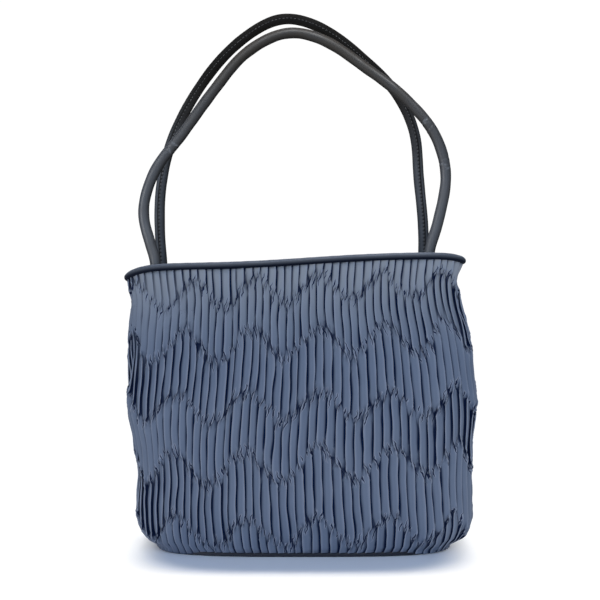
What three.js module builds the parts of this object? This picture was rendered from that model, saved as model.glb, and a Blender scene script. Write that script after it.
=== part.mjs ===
import * as THREE from "three";

// Pleated nylon handbag with a piped mouth and two rolled handles.
// Millimetres, +Z up, front of the bag towards -Y.

// Whole bag
const SEAT_GAP = 0.3;
const TURN = 2 * Math.PI;

// Body cloth
const WALL_THICKNESS = 1.4;
const PLEAT_COUNT = 104;
const PLEAT_RISE = 2.2;
const PLEAT_LEAN = 0.33;
const OUTLINE_SAMPLES = 360;
const PLEATS_PER_INNER_COLUMN = 2;
const SEAM_SHARE = 0.00022;

// Body sections from the foot up: z, sideways shift of the middle, half width, half depth, squareness
const BODY = [
  { z: 3.5, middle: 4.4, halfWidth: 116, halfDepth: 51, square: 3.4 },
  { z: 9, middle: 4.8, halfWidth: 125.5, halfDepth: 52.4, square: 3.5 },
  { z: 20, middle: 5.2, halfWidth: 131.6, halfDepth: 53.2, square: 3.6 },
  { z: 38, middle: 4.8, halfWidth: 133.2, halfDepth: 53.6, square: 3.6 },
  { z: 62, middle: 5.0, halfWidth: 132.2, halfDepth: 54, square: 3.6 },
  { z: 84, middle: 4.3, halfWidth: 134.4, halfDepth: 54.5, square: 3.6 },
  { z: 112, middle: 2.8, halfWidth: 138.2, halfDepth: 55, square: 3.6 },
  { z: 140, middle: 2.0, halfWidth: 136.8, halfDepth: 53.5, square: 3.6 },
  { z: 172, middle: 0.6, halfWidth: 134, halfDepth: 49.5, square: 3.7 },
  { z: 198, middle: -2.0, halfWidth: 131, halfDepth: 44, square: 3.9 },
  { z: 214, middle: -3.8, halfWidth: 132, halfDepth: 41.5, square: 4 },
  { z: 232, middle: -3.8, halfWidth: 136, halfDepth: 40, square: 4 },
];

// Wavy lines where the pleats turn over, bottom line first
const WAVES_ROUND = 13;
const WAVE_PHASE = 0.243;
const TURN_HALF_BAND = 3;
const WAVE_LINES = [
  { z: 20.6, swing: 10.5 },
  { z: 72.7, swing: 12 },
  { z: 118, swing: 11 },
  { z: 166.5, swing: 11.5 },
  { z: 208, swing: 10 },
];
const LOWEST_BAND_LEAN = -1;
const RIM_CLEARANCE = 2;

// Extra rows of the wall inside a band: band from the bottom, share of its height
const EXTRA_ROWS = [
  { band: 0, share: 0.35 },
  { band: 1, share: 0.5 },
  { band: 4, share: 0.5 },
];

// Dents and folds pressed into the body: way round from the front middle, height, reach, depth, slant
const DENTS = [
  { name: "right gusset", round: 0.252, z: 213, wide: 0.03, tall: 10, deep: 6.5, slant: 0 },
  { name: "left gusset", round: 0.748, z: 199, wide: 0.03, tall: 10, deep: 5.4, slant: 0 },
  { name: "right fold", round: 0.216, z: 198, wide: 0.008, tall: 18, deep: 3.4, slant: 0 },
  { name: "left fold", round: 0.782, z: 138, wide: 0.01, tall: 22, deep: 3.2, slant: 0.0005 },
  { name: "right low fold", round: 0.224, z: 92, wide: 0.009, tall: 26, deep: 2.6, slant: -0.0003 },
];

// Mouth and piping
const RIM_HEIGHT = 227.9;
const RIM_RISE = 4.6;
const RIM_RISE_MIDDLE = 8;
const RIM_RISE_REACH = 68;
const RIM_LEAN = 0.032;
const RIM_DROOP_LEFT = { deep: 10.5, power: 10 };
const RIM_DROOP_RIGHT = { deep: 5.5, power: 14 };
const RIM_SECTION_HEIGHT = 224.6;
const RIM_DEPTH = BODY[BODY.length - 1].halfDepth;
const PIPING_RADIUS = 2.7;
const PIPING_SEAT = 0.5;
const PIPING_STEPS = 96;
const PIPING_SIDES = 8;

// Leather base
const BASE_THICKNESS = 3.2;
const BASE_BEVEL = 0.6;
const BASE_INSET = 1.5;
const BASE_POINTS = 56;

// Handles
const HANDLE_RADIUS = 4.3;
const HANDLE_STEPS = 44;
const HANDLE_SIDES = 8;
const TONGUE_HALF_THICKNESS = 1.7;
const TONGUE_HALF_WIDTH = 7;
const TONGUE_FLATTEN_HEIGHT = 16;
const TONGUE_DROP = 30;
const HANDLE_TOP_DEPTH = 14;
const PIPING_SLOPE_ALLOWANCE = 0.35;
const TONGUE_SLOPE_ALLOWANCE = 0.1;

// Handle centrelines between the two tongues, seen from the front
const FRONT_HANDLE = [
  { x: -112, z: 229 },
  { x: -116.5, z: 243 },
  { x: -122.4, z: 268 },
  { x: -113, z: 299 },
  { x: -92, z: 327.4 },
  { x: -68, z: 361 },
  { x: -40.7, z: 391.7 },
  { x: -8.8, z: 406.7 },
  { x: 19.2, z: 401.7 },
  { x: 52.6, z: 380.4 },
  { x: 82, z: 358.4 },
  { x: 106.6, z: 329.6 },
  { x: 115.2, z: 297 },
  { x: 108.8, z: 260 },
  { x: 102.5, z: 236 },
];
const BACK_HANDLE = [
  { x: -112, z: 229 },
  { x: -113.7, z: 250 },
  { x: -113, z: 284 },
  { x: -104.3, z: 323 },
  { x: -85.3, z: 361.9 },
  { x: -57.4, z: 396.8 },
  { x: -25.4, z: 418.5 },
  { x: -11.1, z: 420.9 },
  { x: 20.2, z: 412.4 },
  { x: 52.6, z: 389.3 },
  { x: 79.6, z: 361.9 },
  { x: 93.6, z: 331.3 },
  { x: 98, z: 294.3 },
  { x: 101.8, z: 258 },
  { x: 102.5, z: 236 },
];

// Smooth value of one column of the body table at a height
function columnAt(key, z) {
  const last = BODY.length - 1;
  let k = 0;
  while (k < last - 1 && z > BODY[k + 1].z) {
    k += 1;
  }
  const slope = (j) => {
    const below = BODY[Math.max(j - 1, 0)];
    const above = BODY[Math.min(j + 1, last)];
    return (above[key] - below[key]) / (above.z - below.z);
  };
  const span = BODY[k + 1].z - BODY[k].z;
  const t = THREE.MathUtils.clamp((z - BODY[k].z) / span, 0, 1);
  const t2 = t * t;
  const t3 = t2 * t;
  const ends = (2 * t3 - 3 * t2 + 1) * BODY[k][key] + (3 * t2 - 2 * t3) * BODY[k + 1][key];
  return ends + span * ((t3 - 2 * t2 + t) * slope(k) + (t3 - t2) * slope(k + 1));
}

function sectionAt(z) {
  return {
    middle: columnAt("middle", z),
    halfWidth: columnAt("halfWidth", z),
    halfDepth: columnAt("halfDepth", z),
    square: columnAt("square", z),
  };
}

// Plan outline of a section as a run of points with its running length, from the front middle to the right
function outlineOf(section) {
  const points = [];
  const lengths = [0];
  for (let i = 0; i <= OUTLINE_SAMPLES; i += 1) {
    const angle = (TURN * i) / OUTLINE_SAMPLES;
    const across = Math.abs(Math.sin(angle) / section.halfWidth) ** section.square;
    const along = Math.abs(Math.cos(angle) / section.halfDepth) ** section.square;
    const reach = (across + along) ** (-1 / section.square);
    points.push(new THREE.Vector2(section.middle + reach * Math.sin(angle), -reach * Math.cos(angle)));
    if (i > 0) {
      lengths.push(lengths[i - 1] + points[i].distanceTo(points[i - 1]));
    }
  }
  return { points, lengths };
}

// Plan point and outward direction at a share of the way round
function planAt(outline, round) {
  const { points, lengths } = outline;
  const way = THREE.MathUtils.euclideanModulo(round, 1) * lengths[OUTLINE_SAMPLES];
  let k = 0;
  while (k < OUTLINE_SAMPLES - 1 && lengths[k + 1] < way) {
    k += 1;
  }
  const t = (way - lengths[k]) / (lengths[k + 1] - lengths[k]);
  const point = points[k].clone().lerp(points[k + 1], t);
  const before = points[(k - 1 + OUTLINE_SAMPLES) % OUTLINE_SAMPLES];
  const after = points[(k + 2) % OUTLINE_SAMPLES];
  const along = after.clone().sub(before).normalize();
  return { point, outward: new THREE.Vector2(along.y, -along.x) };
}

function dentDepth(round, z) {
  let depth = 0;
  for (const dent of DENTS) {
    const lift = z - dent.z;
    const off = THREE.MathUtils.euclideanModulo(round - dent.round - dent.slant * lift + 0.5, 1) - 0.5;
    depth += dent.deep * Math.exp(-((off / dent.wide) ** 2) - (lift / dent.tall) ** 2);
  }
  return depth;
}

// Point of the body surface, lifted outward by a distance
function bodyPoint(round, z, lift) {
  const { point, outward } = planAt(outlineOf(sectionAt(z)), round);
  const reach = lift - dentDepth(round, z);
  return new THREE.Vector3(point.x + outward.x * reach, point.y + outward.y * reach, z);
}

// Height of the middle of the piping over a place in plan
function rimHeight(x, y) {
  const { middle, halfWidth } = BODY[BODY.length - 1];
  const share = Math.min(Math.abs((x - middle) / halfWidth), 1);
  const { deep, power } = x < middle ? RIM_DROOP_LEFT : RIM_DROOP_RIGHT;
  const rise = RIM_RISE * Math.tanh((x - RIM_RISE_MIDDLE) / RIM_RISE_REACH);
  return RIM_HEIGHT + rise - RIM_LEAN * y - deep * share ** power;
}

function rimHeightRound(round) {
  const { point } = planAt(outlineOf(sectionAt(RIM_SECTION_HEIGHT)), round);
  return rimHeight(point.x, point.y);
}

// Heights of the wall rows at one place round the body, with the lean of the pleats in each row
function rowsAt(round) {
  const foot = BODY[0].z;
  const top = rimHeightRound(round) - PIPING_RADIUS - PIPING_SEAT;
  const wave = Math.cos(TURN * (WAVES_ROUND * round - WAVE_PHASE));
  const rows = [{ z: foot, lean: LOWEST_BAND_LEAN }];
  let lean = LOWEST_BAND_LEAN;
  let bandFoot = foot;
  WAVE_LINES.forEach((line, band) => {
    const room = top - RIM_CLEARANCE - TURN_HALF_BAND;
    const z = Math.min(line.z + line.swing * wave, room);
    for (const extra of EXTRA_ROWS.filter((row) => row.band === band)) {
      rows.push({ z: THREE.MathUtils.lerp(bandFoot, z - TURN_HALF_BAND, extra.share), lean });
    }
    rows.push({ z: z - TURN_HALF_BAND, lean });
    lean = -lean;
    rows.push({ z: z + TURN_HALF_BAND, lean });
    bandFoot = z + TURN_HALF_BAND;
  });
  rows.push({ z: top, lean });
  return rows;
}

// Mesh from points and triangles
function solid(name, points, triangles, material) {
  const geometry = new THREE.BufferGeometry();
  geometry.setAttribute("position", new THREE.Float32BufferAttribute(points.flatMap((p) => p.toArray()), 3));
  geometry.setIndex(triangles.flat());
  geometry.computeVertexNormals();
  const mesh = new THREE.Mesh(geometry, material);
  mesh.name = name;
  return mesh;
}

// Pleated half of the body: outer folds, smooth inner face, closed along its four edges
function pleatedPanel(name, startPleat, endPleat, material) {
  const points = [];
  const triangles = [];
  const pleats = endPleat - startPleat;
  const place = (pleat) => {
    const round = pleat / PLEAT_COUNT;
    if (pleat === startPleat) {
      return round + SEAM_SHARE;
    }
    return pleat === endPleat ? round - SEAM_SHARE : round;
  };
  const addColumn = (makePoint, rows) => rows.map((row) => points.push(makePoint(row)) - 1);
  const outer = [];
  const inner = [];
  for (let k = 0; k <= pleats; k += 1) {
    const pleat = startPleat + k;
    const round = place(pleat);
    outer.push(addColumn((row) => bodyPoint(round, row.z, 0), rowsAt(round)));
    if (k % PLEATS_PER_INNER_COLUMN === 0) {
      inner.push(addColumn((row) => bodyPoint(round, row.z, -WALL_THICKNESS), rowsAt(round)));
    }
    if (k < pleats) {
      const middle = (pleat + 0.5) / PLEAT_COUNT;
      const ridge = (row) => middle + (row.lean * PLEAT_LEAN) / PLEAT_COUNT;
      outer.push(addColumn((row) => bodyPoint(ridge(row), row.z, PLEAT_RISE), rowsAt(middle)));
    }
  }
  const quad = (a, b, c, d) => triangles.push([a, b, c], [a, c, d]);
  const rowCount = outer[0].length;
  const top = rowCount - 1;
  for (let r = 0; r < top; r += 1) {
    for (let k = 0; k + 1 < outer.length; k += 1) {
      quad(outer[k][r], outer[k + 1][r], outer[k + 1][r + 1], outer[k][r + 1]);
    }
    for (let k = 0; k + 1 < inner.length; k += 1) {
      quad(inner[k][r], inner[k][r + 1], inner[k + 1][r + 1], inner[k + 1][r]);
    }
    const lastOuter = outer[outer.length - 1];
    const lastInner = inner[inner.length - 1];
    quad(outer[0][r], outer[0][r + 1], inner[0][r + 1], inner[0][r]);
    quad(lastOuter[r], lastInner[r], lastInner[r + 1], lastOuter[r + 1]);
  }
  const stride = 2 * PLEATS_PER_INNER_COLUMN;
  for (let k = 0; k + 1 < inner.length; k += 1) {
    const first = k * stride;
    const half = first + stride / 2;
    for (let j = first; j < first + stride; j += 1) {
      const near = j < half ? inner[k] : inner[k + 1];
      triangles.push([outer[j][top], outer[j + 1][top], near[top]]);
      triangles.push([outer[j + 1][0], outer[j][0], near[0]]);
    }
    triangles.push([inner[k][top], outer[half][top], inner[k + 1][top]]);
    triangles.push([outer[half][0], inner[k][0], inner[k + 1][0]]);
  }
  return solid(name, points, triangles, material);
}

// Solid through a run of rings: a closed loop, or a bar with flat ends
function ringSolid(name, rings, loop, material) {
  const sides = rings[0].length;
  const points = rings.flat();
  const triangles = [];
  const spans = loop ? rings.length : rings.length - 1;
  for (let i = 0; i < spans; i += 1) {
    const here = i * sides;
    const next = ((i + 1) % rings.length) * sides;
    for (let j = 0; j < sides; j += 1) {
      const k = (j + 1) % sides;
      triangles.push([here + j, here + k, next + k], [here + j, next + k, next + j]);
    }
  }
  if (!loop) {
    const end = (rings.length - 1) * sides;
    for (let j = 1; j + 1 < sides; j += 1) {
      triangles.push([0, j + 1, j], [end, end + j, end + j + 1]);
    }
  }
  return solid(name, points, triangles, material);
}

// Oval ring square to a direction, its first axis as near as can be to a wanted one
function ovalRing(centre, direction, wanted, first, second, sides) {
  const a = wanted.clone().addScaledVector(direction, -wanted.dot(direction)).normalize();
  const b = direction.clone().cross(a);
  return Array.from({ length: sides }, (_, j) => {
    const angle = (TURN * (j + 0.5)) / sides;
    const point = centre.clone().addScaledVector(a, first * Math.cos(angle));
    return point.addScaledVector(b, second * Math.sin(angle));
  });
}

function rimPiping(material) {
  const lift = (PLEAT_RISE - WALL_THICKNESS) / 2;
  const centres = Array.from({ length: PIPING_STEPS }, (_, i) => {
    const round = i / PIPING_STEPS;
    const z = rimHeightRound(round);
    return bodyPoint(round, z - PIPING_RADIUS, lift).setZ(z);
  });
  const up = new THREE.Vector3(0, 0, 1);
  const rings = centres.map((centre, i) => {
    const before = centres[(i - 1 + PIPING_STEPS) % PIPING_STEPS];
    const direction = centres[(i + 1) % PIPING_STEPS].clone().sub(before).normalize();
    return ovalRing(centre, direction, up, PIPING_RADIUS, PIPING_RADIUS, PIPING_SIDES);
  });
  return ringSolid("rim_piping", rings, true, material);
}

// Depth of the body surface from the middle plane over a sideways position
function wallDepth(x, z) {
  const { middle, halfWidth, halfDepth, square } = sectionAt(z);
  const share = Math.abs((x - middle) / halfWidth);
  return halfDepth * (1 - share ** square) ** (1 / square);
}

// Outward direction of the front (-1) or back (1) wall over a sideways position
function wallOutward(x, z, side) {
  const slope = wallDepth(x + 1, z) - wallDepth(x - 1, z);
  return new THREE.Vector3(-slope / 2, side, 0).normalize();
}

function handle(name, route, side, material) {
  const seat = PIPING_RADIUS + HANDLE_RADIUS + SEAT_GAP + PIPING_SLOPE_ALLOWANCE;
  const crown = Math.max(...route.map((row) => row.z));
  const standing = route.map(({ x, z }) => {
    const rim = rimHeight(x, side * RIM_DEPTH);
    const footDepth = wallDepth(x, rim) - seat;
    const climb = THREE.MathUtils.clamp((z - rim) / (crown - rim), 0, 1);
    return new THREE.Vector3(x, side * THREE.MathUtils.lerp(footDepth, HANDLE_TOP_DEPTH, climb), z);
  });
  const tongueEnd = (foot) => {
    const z = rimHeight(foot.x, foot.y) - TONGUE_DROP;
    const inset = WALL_THICKNESS + SEAT_GAP + TONGUE_HALF_THICKNESS + TONGUE_SLOPE_ALLOWANCE;
    const wall = new THREE.Vector3(foot.x, side * wallDepth(foot.x, z), z);
    return wall.addScaledVector(wallOutward(foot.x, z, side), -inset);
  };
  const first = tongueEnd(standing[0]);
  const last = tongueEnd(standing[standing.length - 1]);
  const curve = new THREE.CatmullRomCurve3([first, ...standing, last], false, "centripetal");
  const across = new THREE.Vector3(0, side, 0);
  const rings = curve.getSpacedPoints(HANDLE_STEPS).map((centre, i) => {
    const below = rimHeight(centre.x, centre.y) - centre.z;
    const flat = THREE.MathUtils.smoothstep(below, 0, TONGUE_FLATTEN_HEIGHT);
    const thick = THREE.MathUtils.lerp(HANDLE_RADIUS, TONGUE_HALF_THICKNESS, flat);
    const wide = THREE.MathUtils.lerp(HANDLE_RADIUS, TONGUE_HALF_WIDTH, flat);
    const direction = curve.getTangentAt(i / HANDLE_STEPS);
    const facing = across.clone();
    if (flat > 0) {
      facing.lerp(wallOutward(centre.x, centre.z, side), flat);
    }
    return ovalRing(centre, direction, facing, thick, wide, HANDLE_SIDES);
  });
  return ringSolid(name, rings, false, material);
}

function basePanel(material) {
  const outline = outlineOf(sectionAt(BODY[0].z));
  const edge = Array.from({ length: BASE_POINTS }, (_, i) => {
    const { point, outward } = planAt(outline, i / BASE_POINTS);
    return point.addScaledVector(outward, -BASE_INSET);
  });
  const geometry = new THREE.ExtrudeGeometry(new THREE.Shape(edge), {
    depth: BASE_THICKNESS - 2 * BASE_BEVEL,
    bevelEnabled: true,
    bevelSize: BASE_BEVEL,
    bevelThickness: BASE_BEVEL,
    bevelSegments: 1,
  });
  geometry.translate(0, 0, BASE_BEVEL);
  const mesh = new THREE.Mesh(geometry, material);
  mesh.name = "base_panel";
  return mesh;
}

const nylon = new THREE.MeshStandardMaterial({ color: 0x5a6780, roughness: 0.55, metalness: 0 });
const leather = new THREE.MeshStandardMaterial({ color: 0x3a3f49, roughness: 0.45, metalness: 0 });
const baseLeather = new THREE.MeshStandardMaterial({ color: 0x262b36, roughness: 0.55, metalness: 0 });

const half = PLEAT_COUNT / 2;
const bag = new THREE.Group();
bag.name = "pleated_handbag";
bag.add(
  pleatedPanel("front_panel", -half / 2, half / 2, nylon),
  pleatedPanel("back_panel", half / 2, half + half / 2, nylon.clone()),
  basePanel(baseLeather),
  rimPiping(leather),
  handle("front_handle", FRONT_HANDLE, -1, leather.clone()),
  handle("back_handle", BACK_HANDLE, 1, leather.clone()),
);

// Origin at the middle of the bottom of the whole bag
const bounds = new THREE.Box3().setFromObject(bag);
const middle = bounds.getCenter(new THREE.Vector3());
bag.children.forEach((mesh) => mesh.geometry.translate(-middle.x, -middle.y, -bounds.min.z));

export default bag;
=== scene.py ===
"""Pleated nylon handbag: folded cloth panels, piped mouth, leather base and rolled handles."""

import logging
import math
from collections.abc import Iterator, Sequence
from dataclasses import dataclass, field
from enum import Enum
from typing import Any

import bpy
import numpy as np
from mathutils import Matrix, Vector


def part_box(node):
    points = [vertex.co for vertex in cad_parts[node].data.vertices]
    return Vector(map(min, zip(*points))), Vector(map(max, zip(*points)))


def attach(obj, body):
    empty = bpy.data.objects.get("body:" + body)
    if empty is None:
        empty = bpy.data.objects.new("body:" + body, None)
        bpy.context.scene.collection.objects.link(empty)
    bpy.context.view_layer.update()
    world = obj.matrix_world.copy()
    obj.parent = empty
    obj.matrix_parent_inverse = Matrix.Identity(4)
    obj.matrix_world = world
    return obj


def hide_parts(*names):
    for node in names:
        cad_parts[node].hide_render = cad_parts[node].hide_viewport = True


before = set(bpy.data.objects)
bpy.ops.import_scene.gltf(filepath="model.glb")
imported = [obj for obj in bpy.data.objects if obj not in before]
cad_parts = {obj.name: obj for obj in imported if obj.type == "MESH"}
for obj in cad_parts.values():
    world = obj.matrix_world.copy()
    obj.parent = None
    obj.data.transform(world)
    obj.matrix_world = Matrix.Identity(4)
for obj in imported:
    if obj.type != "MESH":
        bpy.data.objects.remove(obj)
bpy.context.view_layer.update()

LOG = logging.getLogger("handbag")
MM = 0.001
MM_PER_CM = 10.0
CM_PER_M = 100.0
TURN = 2.0 * math.pi
HALF = 0.5
QUARTER = 0.25
ROOT = "root"

Array = np.ndarray
Random = np.random.Generator
Piece = bpy.types.Object
Socket = bpy.types.NodeSocket
Material = bpy.types.Material
Triple = tuple[float, float, float]
Colour = tuple[float, float, float, float]


class Side(Enum):
    """Wall of the bag that a piece belongs to: the value is its direction along Y."""

    FRONT = -1
    BACK = 1


class Lean(Enum):
    """Way that a folded pleat lies, seen from outside."""

    LEFT = -1
    RIGHT = 1


# Form of the body


@dataclass(frozen=True)
class Section:
    """One level section of the body in millimetres, with its squareness."""

    z: float
    middle: float
    half_width: float
    half_depth: float
    square: float


@dataclass(frozen=True)
class WaveLine:
    """One wavy line along which the pleats turn over, in millimetres, and how far its waves are stretched."""

    z: float
    swing: float
    tilt: float
    slide: float
    stretch: float


@dataclass(frozen=True)
class Drift:
    """How far the pleats have slid round the body at one height, and spread to its sides and corners."""

    z: float
    slide: float
    spread: float
    corner: float


@dataclass(frozen=True)
class Dent:
    """A soft dent or fold: place round the body, height, reach, depth and slant."""

    way_round: float
    z: float
    wide: float
    tall: float
    deep: float
    slant: float

    def depth_at(self, share: Array, z: Array) -> Array:
        """Depth at places on the body, which dies out round the middle of the dent.

        Args:
            share: Way round of each place.
            z: Heights in millimetres.

        Returns:
            The depth at each place.
        """
        lift = z - self.z
        off = np.mod(share - self.way_round - self.slant * lift + HALF, 1.0) - HALF
        return self.deep * np.exp(-((off / self.wide) ** 2) - (lift / self.tall) ** 2)


SECTIONS = (
    Section(3.5, 4.4, 116.0, 51.0, 3.4),
    Section(9.0, 4.8, 125.5, 52.4, 3.5),
    Section(20.0, 5.2, 131.6, 53.2, 3.6),
    Section(38.0, 4.8, 133.2, 53.6, 3.6),
    Section(62.0, 5.0, 132.2, 54.0, 3.6),
    Section(84.0, 4.3, 134.4, 54.5, 3.6),
    Section(112.0, 2.8, 138.2, 55.0, 3.6),
    Section(140.0, 2.0, 136.8, 53.5, 3.6),
    Section(172.0, 0.6, 134.0, 49.5, 3.7),
    Section(198.0, -2.0, 131.0, 44.0, 3.9),
    Section(214.0, -3.8, 132.0, 41.5, 4.0),
    Section(232.0, -3.8, 136.0, 40.0, 4.0),
)
WAVE_LINES = (
    WaveLine(20.6, 10.5, 1.0, -3.0, 0.09),
    WaveLine(72.7, 12.0, 4.0, -2.5, 0.11),
    WaveLine(118.5, 11.0, 3.0, 0.0, 0.05),
    WaveLine(166.5, 11.5, 4.0, 2.0, 0.02),
    WaveLine(207.0, 10.0, 6.2, 7.7, 0.0),
)
DRIFTS = (
    Drift(3.5, -9.4, 0.060, 0.10),
    Drift(14.0, -10.4, 0.075, 0.03),
    Drift(42.0, -12.3, 0.078, 0.0),
    Drift(78.0, -12.5, 0.055, 0.0),
    Drift(114.0, -8.7, -0.007, 0.0),
    Drift(150.0, -6.2, -0.030, 0.0),
    Drift(186.0, -3.6, -0.026, 0.0),
    Drift(218.0, 0.0, 0.0, 0.0),
    Drift(240.0, 0.0, 0.0, 0.0),
)
DENTS = (
    Dent(0.252, 213.0, 0.030, 10.0, 6.5, 0.0),
    Dent(0.748, 199.0, 0.030, 10.0, 5.4, 0.0),
    Dent(0.216, 198.0, 0.008, 18.0, 3.4, 0.0),
    Dent(0.782, 138.0, 0.010, 22.0, 3.2, 0.0005),
    Dent(0.224, 92.0, 0.009, 26.0, 2.6, -0.0003),
)
# Places where the pleats are pulled almost flat, with the share that is lost as their depth
EASED_PATCHES = (
    Dent(0.826, 200.0, 0.030, 24.0, 0.72, 0.0),
    Dent(0.808, 172.0, 0.022, 20.0, 0.60, 0.0),
    Dent(0.812, 84.0, 0.026, 18.0, 0.66, 0.0),
    Dent(0.178, 176.0, 0.016, 16.0, 0.45, 0.0),
    Dent(0.330, 196.0, 0.026, 22.0, 0.60, 0.0),
    Dent(0.672, 186.0, 0.022, 20.0, 0.50, 0.0),
)
# Places where the pleats stand open in deep folds, with painted shade in their hollows
GAPING_FOLDS = (
    Dent(0.798, 138.0, 0.020, 26.0, 1.0, 0.0),
    Dent(0.806, 38.0, 0.020, 24.0, 1.0, 0.0),
    Dent(0.207, 92.0, 0.014, 26.0, 1.0, 0.0),
    Dent(0.208, 204.0, 0.010, 16.0, 0.9, 0.0),
    Dent(0.284, 128.0, 0.018, 26.0, 0.9, 0.0),
    Dent(0.722, 96.0, 0.018, 26.0, 0.9, 0.0),
)


def smooth_column(rows: Sequence[Any], name: str, z: Array) -> Array:
    """Smooth value of one column of a table of heights.

    Args:
        rows: Rows of the table, upward.
        name: Field of a row.
        z: Heights in millimetres.

    Returns:
        The value at each height.
    """
    heights = np.array([row.z for row in rows])
    values = np.array([getattr(row, name) for row in rows])
    slopes = np.empty_like(values)
    slopes[1:-1] = (values[2:] - values[:-2]) / (heights[2:] - heights[:-2])
    slopes[0] = (values[1] - values[0]) / (heights[1] - heights[0])
    slopes[-1] = (values[-1] - values[-2]) / (heights[-1] - heights[-2])
    k = np.clip(np.searchsorted(heights, z) - 1, 0, len(heights) - 2)
    span = heights[k + 1] - heights[k]
    t = clamped((z - heights[k]) / span)
    t2, t3 = t * t, t * t * t
    ends = (2 * t3 - 3 * t2 + 1) * values[k] + (3 * t2 - 2 * t3) * values[k + 1]
    return ends + span * ((t3 - 2 * t2 + t) * slopes[k] + (t3 - t2) * slopes[k + 1])


def clamped(value: Array) -> Array:
    """Value kept between 0 and 1."""
    return np.clip(value, 0.0, 1.0)


def eased(value: Array) -> Array:
    """Share from 0 to 1 that starts and ends gently and stays level beyond its ends."""
    t = clamped(value)
    return t * t * (3.0 - 2.0 * t)


def bell(distance: Array, width: float) -> Array:
    """Height of a soft bump at a distance from its middle."""
    return np.exp(-((distance / width) ** 2))


def from_middle(share: Array) -> Array:
    """Way round from the nearer middle of the front or back, a quarter at the side seams."""
    return np.mod(share + QUARTER, HALF) - QUARTER


def wrapped(angle: Array) -> Array:
    """Angle brought between minus and plus half a turn."""
    return np.mod(angle + math.pi, TURN) - math.pi


def unit(ways: Array) -> Array:
    """Directions of length 1."""
    return ways / np.linalg.norm(ways, axis=-1, keepdims=True)


def run_length(points: Array) -> Array:
    """Length of a run of points up to each of them."""
    return np.concatenate(([0.0], np.cumsum(np.linalg.norm(np.diff(points, axis=0), axis=1))))


def even_steps(points: Array, count: int) -> Array:
    """Points at even steps along a run of points.

    Args:
        points: The run, one row for each point.
        count: Number of points wanted, with both ends.

    Returns:
        The points.
    """
    length = run_length(points)
    way = np.linspace(0.0, length[-1], count)
    return np.stack([np.interp(way, length, part) for part in points.T], axis=-1)


def ring_spokes(angle: Array, first: Array, second: Array) -> Array:
    """Directions from the middle of each ring to its points, between two directions at right angles."""
    return np.cos(angle)[None, :, None] * first[:, None] + np.sin(angle)[None, :, None] * second[:, None]


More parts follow.
